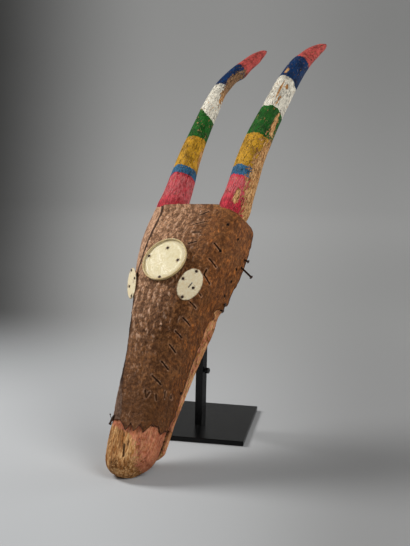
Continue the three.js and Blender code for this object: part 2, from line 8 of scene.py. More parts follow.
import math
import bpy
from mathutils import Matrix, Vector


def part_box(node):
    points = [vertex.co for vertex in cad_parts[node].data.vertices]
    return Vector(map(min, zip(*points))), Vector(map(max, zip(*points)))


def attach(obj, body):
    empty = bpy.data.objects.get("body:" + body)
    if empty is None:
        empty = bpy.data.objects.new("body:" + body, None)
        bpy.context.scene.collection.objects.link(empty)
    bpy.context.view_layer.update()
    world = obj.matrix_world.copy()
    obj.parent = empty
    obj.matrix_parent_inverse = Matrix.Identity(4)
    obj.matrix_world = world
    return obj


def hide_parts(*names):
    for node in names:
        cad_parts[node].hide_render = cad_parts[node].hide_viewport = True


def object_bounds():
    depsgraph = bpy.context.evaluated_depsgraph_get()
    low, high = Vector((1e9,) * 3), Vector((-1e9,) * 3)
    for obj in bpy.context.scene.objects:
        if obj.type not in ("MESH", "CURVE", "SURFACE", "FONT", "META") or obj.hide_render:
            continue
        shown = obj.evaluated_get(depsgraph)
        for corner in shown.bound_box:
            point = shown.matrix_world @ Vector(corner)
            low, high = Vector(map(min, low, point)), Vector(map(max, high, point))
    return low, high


bl_info = {
    "name": "Antelope Mask with Painted Horns",
    "version": (1, 0, 0),
    "blender": (4, 5, 0),
    "location": "View3D > Sidebar > Mask",
    "description": "Carved head, painted horns, nailed tin, lid and discs on a black stand",
    "category": "Object",
}

import bpy
import numpy as np
from mathutils import Matrix

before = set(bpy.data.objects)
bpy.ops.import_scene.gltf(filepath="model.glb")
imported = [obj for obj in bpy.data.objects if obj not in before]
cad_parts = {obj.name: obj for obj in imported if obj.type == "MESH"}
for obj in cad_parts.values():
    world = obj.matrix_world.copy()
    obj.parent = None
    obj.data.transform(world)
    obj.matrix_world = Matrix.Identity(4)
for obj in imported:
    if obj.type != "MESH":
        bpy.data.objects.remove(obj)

MM = 0.001

# Box round all the solids, in metres, that no new piece standing for solids leaves
SOLIDS_BOX = np.array([list(corner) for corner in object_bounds()])

# How the mask stands
MUZZLE_AT = (40.5, -266.3)
CONTACT_DEPTH = 29.7
SIDE_TILT = math.radians(6.2)
LEAN_BACK = math.radians(36.5)

# Carved head, as (place, value)
HEAD_LENGTH = 446.0
HALF_WIDTH = [
    (2.5, 9.5), (4.5, 17), (9, 24), (15, 29.5), (30, 34.8), (60, 37.5), (88, 38.2), (130, 41.4), (180, 46.5),
    (230, 52.5), (270, 59.5), (292, 67.5), (320, 73), (350, 80.5), (385, 84), (420, 83.5), (428, 82),
    (438, 78), (446, 72),
]
CENTRE = [
    (0, -9), (30, -5.5), (60, -4.2), (88, -3), (150, -0.5), (200, 0), (420, 0), (428, -1), (438, -4),
    (446, -8),
]
CREST = [
    (2.5, 45), (6, 51), (13, 56), (30, 59), (75, 62), (130, 74.5), (180, 85), (241, 94),
    (290, 92), (326, 88), (380, 79), (446, 59.5),
]
SQUARENESS = [
    (0, 2.2), (30, 3.2), (77, 4.4), (132, 3.6), (186, 2.6), (248, 2.7), (295, 3.2), (340, 3.1), (446, 4),
]
WIDEST_DEPTH = [(0, 34), (30, 32), (75, 26), (130, 20), (446, 26)]
LIP_DEPTH = [(2.5, 28), (6, 21), (13, 17.5), (30, 14), (84, 15.5)]

# The rim's small flare on the mask's left, and how much of its left half the muzzle's tip keeps
LEFT_RIM_FLARE = [(150, 0), (185, 1.2), (215, 3.2), (243, 4.6), (256, 3.8), (268, 1.4), (278, 0)]
TIP_BEVEL = [(2.5, 0.55), (7, 0.6), (12, 0.66), (18, 0.76), (25, 0.87), (34, 0.96), (44, 1)]

# Mouth, lower jaw and the hollow for the wearer's face
MOUTH_END = 86.0
CORNER = 3.0
JAW_TIP = 40.0
JAW_ROOT = 100.0
JAW_DEPTHS = (-4.5, 11.5)
JAW_SQUARENESS = 3.5
WALL = 12.0
HOLLOW_BOTTOM = 104.0
HOLLOW_TOP = 428.0
HOLLOW_CREST = [
    (104, 22), (116, 40), (140, 60), (180, 71), (241, 81), (326, 75), (380, 66), (412, 50), (428, 30),
]
HOLLOW_WIDEST = 12.0
HOLLOW_SQUARENESS = 2.6

# Muzzle's paint and marks: arc where the pink begins, one crack and the knotty tip
PINK_FROM = [(0, 60), (15, 45), (20, 30), (35, 28), (50, 20), (60, 4), (68, -22), (74, -45)]
MUZZLE_CRACK = [(4, 43), (6, 35), (9, 27)]
KNOT_AT = (-6, 15)
KNOT_REACH = (13, 10)

# Horns: centre line as (x, depth, place) for the mask's left horn, and diameters by place
HORN_LINE = [
    (56, 36, 400), (58.5, 33.5, 450), (59.6, 28.8, 500), (60.5, 25, 550), (61.2, 16.5, 600), (62.8, 3, 660),
    (64.5, -12.8, 720), (61.5, -42, 780), (59.4, -62, 810), (58.9, -83, 840), (60.3, -107, 872),
    (60.5, -117, 884),
]
LEFT_HORN_DIAMETERS = [
    (400, 41), (430, 44), (450, 49.5), (475, 46.5), (525, 44.5), (600, 41.8), (660, 38.2), (720, 35.9),
    (780, 31.6), (810, 27.7), (840, 23.7), (860, 18.4), (875, 13.2), (884, 7),
]
RIGHT_HORN_DIAMETERS = [
    (400, 41), (430, 44), (450, 49.5), (475, 44.4), (525, 39.4), (575, 34.9), (600, 32), (660, 29.5),
    (720, 25), (780, 23.5), (810, 22.5), (840, 20.5), (860, 15), (875, 9), (884, 2.4),
]
HORN_SWELL = 1.04
HORN_RUN = 520

# Paint gone from the horns: (turn, half turn, place, half length), turns in degrees round the horn
BARE_LEFT = [
    (12, 60, 512, 84), (20, 55, 470, 60), (-15, 14, 615, 28), (-62, 12, 462, 14), (-7, 9, 442, 5),
    (-85, 10, 737, 8), (-66, 5, 690, 22), (-50, 4, 668, 14), (-40, 8, 700, 5), (115, 22, 690, 30),
]
BARE_RIGHT = [
    (20, 62, 745, 44), (10, 40, 712, 20), (105, 26, 610, 45), (15, 18, 560, 20), (60, 30, 460, 26),
    (-10, 14, 690, 8), (95, 22, 830, 22),
]

# Painted bands: place where each ends on either horn
BAND_ENDS_LEFT = [400, 500, 521, 584, 650, 721, 789, 884]
BAND_ENDS_RIGHT = [400, 510, 526, 589, 650, 722, 785, 884]
BAND_FROM = 400.0
BAND_SPAN = 500.0

# Tin sheets
SHEET_GAP = 0.45
SEAM_LIFT = 1.5
SEAM_LAP = 9.0
RIM_TURN = 3.6
LEAST_LIFT = 0.12
DEEPEST_DENT = -0.35
FLUTE_PITCH = 11.5
FOLD_PITCH = 19.0
BLOW_SIZE = 4.8
SEAM_ARC = [
    (60, 14), (110, 22), (125, 26.5), (145, 29), (185, 34), (227, 37.5), (258, 45), (320, 52), (446, 53),
]
TOP_EDGE = [(0, 444.8), (0.3, 444.8), (0.45, 442.5), (0.62, 438.5), (0.8, 436), (1, 436)]
TOOTH_EDGE = [
    (0, 78), (0.14, 63), (0.22, 75), (0.32, 62.5), (0.4, 75), (0.5, 63.5), (0.57, 76.5),
    (0.72, 79), (0.84, 71.5), (0.91, 78), (1, 81),
]
LEFT_EDGE = [
    (60, 66), (84, 74), (95, 80), (108, 86.5), (134.5, 88), (153, 92), (172, 93), (188.5, 96.5), (209, 101.5),
    (224.5, 107.5), (244.5, 110), (262, 117), (271, 121.5), (276.5, 115), (283.5, 122), (289.5, 137),
    (295.5, 135.5), (300, 139),
]
NOTCH_END = 300.0
SHEET_BOTTOM = 79.0
CRUMPLE_AT = 122

# Chisel cuts in the front sheet, each a run of (arc, place)
CUTS = [
    [(22, 420), (36, 428)], [(20, 400), (40, 407)], [(24, 384), (39, 385)], [(26, 362), (38, 367)],
    [(66, 368), (78, 359)], [(66, 341), (80, 333)], [(67, 323), (66, 314), (80, 305)], [(62, 287), (72, 283)],
    [(57, 268), (70, 264)], [(53, 242), (68, 237)], [(46, 219), (58, 214)], [(40, 197), (52, 190)],
    [(33, 170), (45, 162)], [(24, 146), (30, 142), (38, 137)], [(18, 123), (21.5, 114), (25, 122)],
    [(34, 121), (36, 114)], [(48, 130), (49, 122)], [(63, 126), (62, 130), (66, 127)],
]

# Other marks in the tin: a crease, a scratch and pin holes in (arc, place), a soft ridge in (place, arc)
CREASE = [(6, 190), (5, 170), (7, 150)]
SCRATCH = [(31, 196), (37, 206), (43, 215)]
PIN_HOLES = [(74.5, 406.5), (78, 359), (101, 392), (125.5, 351.5), (125, 330.5), (124, 306.5), (85.5, 142)]
FACET_RIDGE = [(220, 14.5), (261, 20), (312.5, 20.5), (378.5, 22.5), (436, 33.5)]

# Jar lid, eye discs, tacks and nails
LID = {"radius": 37.5, "height": 5.8, "wall": 1.2, "pitch": 5.5}
EYE = {"long": 26.5, "short": 17.5, "thick": 1.0, "pitch": -12.0, "roll": 14.0}
EYE_YAW = {"left": 43.0, "right": -36.0}
DISC_SLOT = [(1.5, 3.5), (0.5, -5.0)]
TACK = {"head": 2.2, "dome": 0.9, "stem": 0.7}
LID_TACKS = [(-2, 21), (-30.5, 6), (24, -1), (2, -31.5)]
EYE_TACKS = [(-2, 22), (-13.5, 1.5), (7, -2), (0, -22.5)]
TACK_LENGTH = {"lid": 12, "disc": 9}
BENT_NAIL = [(-31, 57, 88), (-33.2, 61.5, 84.5), (-36.2, 60.5, 78.8), (-39.2, 57.5, 71.8)]
WIRE_SPLINTER = [(-35, 60.5, 78), (-38.3, 59.5, 80.5), (-41, 59, 84), (-43.4, 58.5, 87.5)]
KNOB = {"thick": 6.0, "stem": 2, "edge": 0.8}
EDGE_NAIL_SLANTS = [(1, 0.2, -0.35), (1, 0.1, -0.75), (1, 0, -0.1), (1, 0.2, -0.5)]

# Lamps, in metres
LAMPS_AIM = (0.02, 0.05, 0.25)
LAMPS = {
    "key": {"place": (-1.65, -0.45, 1.6), "aim": LAMPS_AIM, "size": (0.8, 0.8)},
    "fill": {"place": (1.55, -0.55, 1.5), "aim": LAMPS_AIM, "size": (1.2, 1.2)},
    "side": {"place": (0.98, 1.02, 0.45), "aim": (0, 0, 0.2), "size": (0.6, 0.9)},
}

# Backdrop: height of its wall and its drop under the foot plate, in millimetres, and the point that its
# tones fan out from: how far in front of the middle, how high, and the least reach from it, in metres
WALL_HEIGHT = 2400
FLOOR_DROP = 0.2
FAN_FRONT = 1.76
FAN_HEIGHT = 0.62
FAN_LEAST = 0.9

# Camera, in millimetres and degrees
EYE_AT = (884.3, -1517.9, 621.3)
LOOK_TURN = 30.0
LOOK_DOWN = 11.68
LOOK_ROLL = 1.33
LENS = 72.5
SENSOR = 36.0
FARTHEST = 50


# Numbers


def along(knots, s):
    """Smooth value between knots: cubic pieces whose slopes never overshoot (harmonic mean of the
    rises on both sides, and none at a turn)."""
    x, y = np.array(knots, float).T
    s = np.clip(s, x[0], x[-1])
    rise = np.diff(y) / np.diff(x)
    before, after = rise[:-1], rise[1:]
    total = np.where(np.abs(before + after) < 1e-12, 1, before + after)
    inner = np.where(before * after <= 0, 0, 2 * before * after / total)
    slope = np.concatenate([rise[:1], inner, rise[-1:]])
    i = np.clip(np.searchsorted(x, s) - 1, 0, len(x) - 2)
    h = x[i + 1] - x[i]
    t = (s - x[i]) / h
    keep = (2 * t - 3) * t * t + 1
    return keep * y[i] + (1 - keep) * y[i + 1] + h * t * (1 - t) * ((1 - t) * slope[i] - t * slope[i + 1])


def between(knots, s):
    """Straight-line value between knots."""
    x, y = np.array(knots, float).T
    return np.interp(s, x, y)


def ease(low, high, s):
    """Smooth step from 0 at low to 1 at high."""
    t = np.clip((s - low) / (high - low), 0, 1)
    return t * t * (3 - 2 * t)


def unevenness(points, size, seed):
    """Hand-worked unevenness from -1 to 1: random heights on a cubic lattice of the given size, blended
    by smooth steps between the eight corners round each point."""
    q = np.asarray(points, float) / size
    cell = np.floor(q).astype(np.int64)
    f = q - cell
    f = f * f * (3 - 2 * f)
    total = np.zeros(q.shape[:-1])
    for corner in range(8):
        step = np.array([corner & 1, corner >> 1 & 1, corner >> 2 & 1])
        at = (cell + step) * np.array([73856093, 19349663, 83492791])
        h = (at[..., 0] ^ at[..., 1] ^ at[..., 2] ^ (seed * 2654435761)) & 0x7FFFFFFF
        h = ((h ^ (h >> 13)) * 1274126177) & 0x7FFFFFFF
        h = ((h ^ (h >> 16)) * 668265263) & 0x7FFFFFFF
        weight = np.prod(np.where(step, f, 1 - f), axis=-1)
        total += weight * (h / 0x3FFFFFFF - 1)
    return total


def layered(points, size, seed):
    """Two sizes of unevenness, the finer at half the height."""
    return (unevenness(points, size, seed) + 0.5 * unevenness(points, size * 0.47, seed + 7)) / 1.5


def distance_to_run(arc, place, run):
    """Least distance in the plane from each (arc, place) to a run of straight strokes."""
    best = np.full(arc.shape, 99.0)
    for (a0, z0), (a1, z1) in zip(run[:-1], run[1:]):
        da, dz = a1 - a0, z1 - z0
        t = np.clip(((arc - a0) * da + (place - z0) * dz) / (da * da + dz * dz), 0, 1)
        best = np.minimum(best, np.hypot(arc - a0 - t * da, place - z0 - t * dz))
    return best


# Frames


def to_stand(p):
    """From the mask's frame (x, depth, place) to the stand's frame: turned back by the lean about x, raised
    so that the muzzle touches the floor, turned by the side tilt about y, moved to the muzzle's place."""
    x, y, z = p[..., 0], -p[..., 1], p[..., 2]
    lean_c, lean_s = math.cos(LEAN_BACK), math.sin(LEAN_BACK)
    tilt_c, tilt_s = math.cos(SIDE_TILT), math.sin(SIDE_TILT)
    back = y * lean_c + z * lean_s + CONTACT_DEPTH * lean_c
    up = -y * lean_s + z * lean_c - CONTACT_DEPTH * lean_s
    return np.stack([
        x * tilt_c - up * tilt_s + MUZZLE_AT[0], back + MUZZLE_AT[1], x * tilt_s + up * tilt_c,
    ], -1)


def to_mask(q):
    """The way back from the stand's frame to the mask's frame."""
    lean_c, lean_s = math.cos(LEAN_BACK), math.sin(LEAN_BACK)
    tilt_c, tilt_s = math.cos(SIDE_TILT), math.sin(SIDE_TILT)
    across, back, height = q[..., 0] - MUZZLE_AT[0], q[..., 1] - MUZZLE_AT[1], q[..., 2]
    x = across * tilt_c + height * tilt_s
    up = -across * tilt_s + height * tilt_c + CONTACT_DEPTH * lean_s
    back = back - CONTACT_DEPTH * lean_c
    return np.stack([x, -(back * lean_c - up * lean_s), back * lean_s + up * lean_c], -1)


def node_points(node):
    """Corners of a solid in the mask's frame, in millimetres."""
    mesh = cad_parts[node].data
    flat = np.empty(len(mesh.vertices) * 3, np.float32)
    mesh.vertices.foreach_get("co", flat)
    return to_mask(flat.reshape(-1, 3).astype(float) / MM)


# Skin of the carved head

PLACES = np.arange(0.0, 447.0)
ARCS = np.arange(0.0, 191.0)
SKIN_STEP = 0.8


def front_path(place):
    """Half section's front in steps: x = half width * cos(a)^(2/n), depth = widest + (crest - widest) *
    sin(a)^(2/n), for a from a quarter turn down to 0, then straight down the flank."""
    turn = np.linspace(math.pi / 2, 0, 400)
    power = 2 / along(SQUARENESS, place)
    wide = along(HALF_WIDTH, place)
    widest = along(WIDEST_DEPTH, place)
    x = wide * np.cos(turn).clip(0) ** power
    depth = widest + (along(CREST, place) - widest) * np.sin(turn) ** power
    x[0] = 0
    return np.append(x, wide), np.append(depth, -40)


def skin_tables():
    """x, depth and the arc to the lip for each place: every front path measured out along its length."""
    x_table, depth_table, reach = [], [], []
    for place in PLACES:
        x, depth = front_path(place)
        walked = np.concatenate([[0], np.cumsum(np.hypot(np.diff(x), np.diff(depth)))])
        x_table.append(np.interp(ARCS, walked, x))
        depth_table.append(np.interp(ARCS, walked, depth))
        floor = along(LIP_DEPTH, place) if place < MOUTH_END else 0
        reach.append(np.interp(-(floor + CORNER), -depth[-2:], walked[-2:]))
    return np.array(x_table), np.array(depth_table), np.array(reach)


SKIN_X, SKIN_DEPTH, LIP_ARC = skin_tables()


def look_up(table, arc, place):
    """Value from a table at each (arc, place), blended between the four entries round it."""
    i = np.clip(place, 0, len(PLACES) - 1.001)
    j = np.clip(arc, 0, len(ARCS) - 1.001)
    a, b = i.astype(int), j.astype(int)
    u, v = i - a, j - b
    low = table[a, b] * (1 - v) + table[a, b + 1] * v
    high = table[a + 1, b] * (1 - v) + table[a + 1, b + 1] * v
    return low * (1 - u) + high * u


def on_skin(arc, place, lift=0.0):
    """Point over the wood: the table's point moved out by the lift, square to the section's outline."""
    size = np.abs(arc)
    side = np.where(arc < 0, -1.0, 1.0)
    x, depth = look_up(SKIN_X, size, place), look_up(SKIN_DEPTH, size, place)
    on, back = size + SKIN_STEP, size - SKIN_STEP
    run_x = look_up(SKIN_X, on, place) - look_up(SKIN_X, np.abs(back), place) * np.sign(back)
    run_d = look_up(SKIN_DEPTH, on, place) - look_up(SKIN_DEPTH, np.abs(back), place)
    length = np.hypot(run_x, run_d) + 1e-9
    x = side * (x - lift * run_d / length) + along(CENTRE, place)
    return np.stack([x, depth + lift * run_x / length, place + 0 * arc], -1)


def lip_arc(place):
    """Arc at which the wood turns over its rear rim or lip."""
    return np.interp(place, PLACES, LIP_ARC)


# Meshes


def grid_quads(rows, columns, start=0, wrap=False):
    """Corner numbers of the cells between neighbouring rows and columns of a grid."""
    i, j = np.meshgrid(np.arange(rows - 1), np.arange(columns if wrap else columns - 1), indexing="ij")
    k = (j + 1) % columns
    quads = np.stack([i * columns + j, (i + 1) * columns + j, (i + 1) * columns + k, i * columns + k], -1)
    return quads.reshape(-1, 4) + start


def fan(ring, pole):
    """Triangles from a closed ring of corner numbers to a pole."""
    return np.stack([ring, np.roll(ring, -1), np.full(len(ring), pole)], -1)


def capped(rows, first, last):
    """Wrapped rings with a pole beyond each end, as points, quads and triangles."""
    count, sides = rows.shape[:2]
    ring, n = np.arange(sides), count * sides
    points = np.concatenate([rows.reshape(-1, 3), [first, last]])
    tris = np.concatenate([fan(ring, n), fan(ring + n - sides, n + 1)[:, ::-1]])
    return points, grid_quads(count, sides, wrap=True), tris


def shell_quads(rows, columns):
    """Front layer, back layer and the rim that joins them, for two grids of the same size."""
    n = rows * columns
    front = grid_quads(rows, columns)
    back = grid_quads(rows, columns, n)[:, ::-1]
    at = np.arange(n).reshape(rows, columns)
    edge = np.concatenate([at[0, :], at[1:, -1], at[-1, -2::-1], at[-2:0:-1, 0]])
    on = np.roll(edge, -1)
    rim = np.stack([edge, on, on + n, edge + n], -1)
    return np.concatenate([front, back, rim])


def signed_volume(points, quads, tris):
    """Sum over the faces of corner triple products, a sixth of which is the closed mesh's volume."""
    t = np.concatenate([quads[:, [0, 1, 2]], quads[:, [0, 2, 3]], tris])
    a, b, c = points[t[:, 0]], points[t[:, 1]], points[t[:, 2]]
    return float(np.einsum("ij,ij->", a, np.cross(b, c))) / 6


def make_piece(name, points, quads, tris, material, fields=None, slot=None, stands_for=()):
    """Piece at the origin from points in millimetres in the stand's frame, its faces turned outwards. One
    with a slot stands for solids and stays inside their box, and one without belongs to the stage."""
    tris = np.zeros((0, 3), int) if tris is None else tris
    quads = np.asarray(quads).reshape(-1, 4)
    if signed_volume(points, quads, tris) < 0:
        quads, tris = quads[:, ::-1], tris[:, ::-1]
    corners = np.concatenate([quads.ravel(), tris.ravel()]).astype(np.int32)
    sizes = np.concatenate([np.full(len(quads), 4), np.full(len(tris), 3)])
    starts = np.concatenate([[0], np.cumsum(sizes)[:-1]]).astype(np.int32)
    mesh = bpy.data.meshes.new(name)
    mesh.vertices.add(len(points))
    placed_at = points * MM if slot is None else np.clip(points * MM, *SOLIDS_BOX)
    mesh.vertices.foreach_set("co", placed_at.astype(np.float32).ravel())
    mesh.loops.add(len(corners))
    mesh.loops.foreach_set("vertex_index", corners)
    mesh.polygons.add(len(sizes))
    mesh.polygons.foreach_set("loop_start", starts)
    mesh.polygons.foreach_set("use_smooth", np.ones(len(sizes), bool))
    mesh.update(calc_edges=True)
    for field, values in (fields or {}).items():
        if values.ndim == 2:
            store = mesh.attributes.new(field, "FLOAT_VECTOR", "POINT")
            store.data.foreach_set("vector", values.astype(np.float32).ravel())
        else:
            store = mesh.attributes.new(field, "FLOAT", "POINT")
            store.data.foreach_set("value", values.astype(np.float32).ravel())
    mesh.validate()
    piece = bpy.data.objects.new(name, mesh)
    bpy.context.scene.collection.objects.link(piece)
    mesh.materials.append(material)
    if slot is None:
        return
    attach(piece, "root")
    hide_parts(*stands_for)


def mask_piece(name, points, quads, tris, material, fields, slot, *stands_for):
    """Piece from points in the mask's frame."""
    make_piece(name, to_stand(points), quads, tris, material, fields, slot, stands_for)


def outward(grid):
    """Unit normals of a grid of wrapped rings, from the cross product of its two runs."""
    down = np.gradient(grid, axis=0)
    right = np.roll(grid, -1, axis=1) - np.roll(grid, 1, axis=1)
    normal = np.cross(down, right)
    return normal / (np.linalg.norm(normal, axis=-1, keepdims=True) + 1e-9)


def lathe(profile, sides):
    """Turned surface: each (radius, height) of the profile carried round the axis. The profile starts and
    ends on the axis, where a pole closes it. Gives local points, quads and tris."""
    radius, height = np.array(profile[1:-1], float).T
    turn = np.linspace(0, 2 * math.pi, sides, endpoint=False)
    rows = np.stack([
        radius[:, None] * np.cos(turn), radius[:, None] * np.sin(turn), height[:, None] + 0 * turn,
    ], -1)
    return capped(rows, [0, 0, profile[0][1]], [0, 0, profile[-1][1]])


def gathered(parts):
    """Several (points, quads, tris) as one mesh."""
    points, quads, tris, start = [], [], [], 0
    for p, q, t in parts:
        points.append(p)
        quads.append(q + start)
        tris.append(t + start)
        start += len(p)
    return np.concatenate(points), np.concatenate(quads), np.concatenate(tris)


# Carved head and jaw


def head_places():
    """Stations along the head, packed closely at the tip, at the mouth's end and at the hollow's ends."""
    steps = [
        np.arange(2.5, 15, 0.9), np.arange(15, 85.5, 1.8), [85.95, 86.05], np.arange(88, 103.5, 1.9),
        [103.95, 104.05], np.arange(105.5, 427.5, 2.1), [427.95, 428.05], np.arange(430, 444, 1.8),
        [445, 446],
    ]
    return np.concatenate(steps)


def superellipse(turn, power):
    """Cosine and sine of the turn, each raised to a power with its sign kept."""
    c, s = np.cos(turn), np.sin(turn)
    return np.sign(c) * np.abs(c) ** power, np.sign(s) * np.abs(s) ** power


def head_rings():
    """Rings of the carved head at each station, in order: front over the crest from lip to lip, rounded
    corner, rear rim, hollow from side to side, rear rim and corner. Past the hollow's ends it is flat."""
    place = head_places()[:, None]
    floor = np.where(place < MOUTH_END, along(LIP_DEPTH, place), 0)
    wide = along(HALF_WIDTH, place)
    centre = along(CENTRE, place)
    share = np.linspace(-1, 1, 170)[None, :]
    front = on_skin(share * lip_arc(place), place * np.ones_like(share))
    bend = np.linspace(0, math.pi / 2, 6)[None, 1:]
    corner_x = wide - CORNER + CORNER * np.cos(bend)
    corner_d = floor + CORNER - CORNER * np.sin(bend)
    hollow = (place > HOLLOW_BOTTOM) & (place < HOLLOW_TOP)
    inner = np.where(hollow, wide - WALL - 0.04 * np.maximum(0, place - 330), wide - CORNER - 1)
    rise = np.where(hollow, along(HOLLOW_CREST, place), floor)
    turn = np.linspace(0, math.pi, 64)[None, :]
    c, s = superellipse(turn, 2 / HOLLOW_SQUARENESS)
    flank = np.linspace(0, 1, 5)[None, :-1]
    low = np.where(hollow, HOLLOW_WIDEST, floor)
    side_x = inner * np.ones_like(flank)
    side_d = np.where(hollow, low * flank, floor)
    arch_x = inner * c
    arch_d = np.where(hollow, low + (rise - low) * s, floor)
    rest_x = np.concatenate([corner_x, side_x, arch_x, -side_x[:, ::-1], -corner_x[:, ::-1]], 1) + centre
    rest_d = np.concatenate([corner_d, side_d, arch_d, side_d[:, ::-1], corner_d[:, ::-1]], 1)
    rest = np.stack([rest_x, rest_d, place + 0 * rest_x], -1)
    return np.concatenate([front, rest], 1), front.shape[1]


def closed_by_caps(grid, shrink):
    """Grid of wrapped rings closed at both ends: smaller copies of the end ring, then a pole."""

    def cap(ring, way):
        """Smaller copies of a ring, each moved out along the place."""
        middle = ring.mean(0)
        return [middle + (ring - middle) * k + np.array([0, 0, way * out]) for k, out in shrink]

    first, last = cap(grid[0], -1), cap(grid[-1], 1)
    rows = np.stack(first[::-1] + list(grid) + last)
    return capped(rows, first[-1].mean(0), last[-1].mean(0))


def worn_wood(grid, height, seed):
    """Wrapped grid pushed along its normals by tool marks: long facets with the grain and a finer
    unevenness."""
    stretched = grid * np.array([1, 1, 0.35])
    amount = 0.65 * unevenness(stretched, 9.0, seed) + 0.35 * unevenness(grid, 3.4, seed + 3)
    return grid + outward(grid) * (amount * height)[..., None]


def wood_fields(points):
    """What the wood's finish needs: the point itself for the grain, how pink it is, and how dark, which is
    painted shade round the mouth and jaw, on the muzzle's underside and inside the hollow, with a darker
    crown.
    """
    x, depth, place = points.T
    centre = along(CENTRE, place)
    side = x - centre
    half = np.maximum(along(HALF_WIDTH, np.maximum(place, 2.5)), 5)
    arc = side * 1.05 + (62 - depth) * 0.55 * np.sign(side)
    above_jaw = ease(7, 13, depth)
    pink = np.clip((arc - between(PINK_FROM, place)) / 12, -1, 1) - 0.9 * (1 - above_jaw)
    # Painted shade, one line each: a band over the jaw below the mouth, the muzzle's underside by the floor,
    # the inside of the hollow; the crown's top is only darker; then the mouth's gap above the jaw.
    under = ease(16, 10, depth) * ease(5, 9, depth) * ease(95, 85, place)
    chin = ease(34, 14, depth) * ease(90, 40, place) * 0.5 * above_jaw
    inside = ease(0.72, 0.4, np.abs(side) / half) * ease(40, 25, depth) * ease(100, 110, place)
    crown = 0.8 * ease(422, 430, place)
    slit = 0.95 * ease(5.6, 2.6, np.abs(depth - 12.6)) * ease(94, 84, place) * ease(24, 34, place)
    dark = np.maximum(np.maximum(chin + inside, crown), slit)
    from_knot = np.hypot((arc - KNOT_AT[0]) / KNOT_REACH[0], (place - KNOT_AT[1]) / KNOT_REACH[1])
    return {
        "grain": points, "pink": pink * ease(120, 92, place), "dark": np.clip(dark + under * 0.7, 0, 1),
        "crack": distance_to_run(arc, place, MUZZLE_CRACK), "knot": ease(1.3, 0.5, from_knot) * (depth > 28),
    }


def carve_head(material):
    """Carved head: the rings with their flare and bevelled tip, worn by tools, closed at both ends and kept
    on the floor."""
    grid, front = head_rings()
    flare = along(LEFT_RIM_FLARE, grid[..., 2]) * ease(26, 6, grid[..., 1]) * (grid[..., 0] > 0)
    grid[..., 0] += flare
    middle = along(CENTRE, grid[..., 2])
    kept = np.where(grid[..., 0] > middle, along(TIP_BEVEL, grid[..., 2]), 1)
    grid[..., 0] = middle + (grid[..., 0] - middle) * kept
    depth_of_work = np.where(np.arange(grid.shape[1]) < front, 0.45, 0.9)[None, :]
    grid = worn_wood(grid, depth_of_work, 11)
    points, quads, tris = closed_by_caps(grid, [(0.9, 0.55), (0.6, 1.0), (0.3, 1.15)])
    points[:, 2] = np.minimum(points[:, 2], HEAD_LENGTH)
    standing = to_stand(points)
    standing[:, 2] = np.maximum(standing[:, 2], 0)
    fields = wood_fields(points)
    make_piece("carved_head", standing, quads, tris, material, fields, "carved_wood", ["mask_wood"])


def jaw_rings():
    """Lower jaw: rounded bar, squarish in section, that narrows to a blunt front."""
    place = np.concatenate([[JAW_TIP], JAW_TIP + np.geomspace(0.4, JAW_ROOT - JAW_TIP, 34)])[:, None]
    growth = np.minimum(1, 0.62 + 0.38 * np.sqrt((place - JAW_TIP) / 12))
    tall = np.minimum(1, 0.55 + 0.45 * np.sqrt((place - JAW_TIP) / 6))
    rear, front = JAW_DEPTHS
    turn = np.linspace(0, 2 * math.pi, 120, endpoint=False)[None, :]
    c, s = superellipse(turn, 2 / JAW_SQUARENESS)
    x = along(HALF_WIDTH, place) * 0.975 * growth * c + along(CENTRE, place)
    depth = (rear + front) / 2 + (front - rear) / 2 * tall * s
    return np.stack([x, depth, place + 0 * x], -1)


def carve_jaw(material):
    """Lower jaw: its rings worn by tools and closed at both ends, no further forward than its tip."""
    grid = worn_wood(jaw_rings(), 0.5, 23)
    points, quads, tris = closed_by_caps(grid, [(0.92, 0.4), (0.6, 0.7), (0.3, 0.8)])
    points[:, 2] = np.maximum(points[:, 2], JAW_TIP)
    mask_piece("lower_jaw", points, quads, tris, material, wood_fields(points), "carved_wood", "mask_wood")


# Horns


def flowing(knots, share):
    """Point on a smooth line through the knots at each share of its length: cubic pieces whose slope at a
    knot is the chord between its neighbours."""
    p = np.array(knots, float)
    walked = np.concatenate([[0], np.cumsum(np.linalg.norm(np.diff(p, axis=0), axis=1))])
    slope = np.gradient(p, walked, axis=0)
    s = np.asarray(share) * walked[-1]
    i = np.clip(np.searchsorted(walked, s) - 1, 0, len(p) - 2)
    h = (walked[i + 1] - walked[i])[..., None]
    t = (s[..., None] - walked[i][..., None]) / h
    keep = (2 * t - 3) * t * t + 1
    bend = h * t * (1 - t) * ((1 - t) * slope[i] - t * slope[i + 1])
    return keep * p[i] + (1 - keep) * p[i + 1] + bend


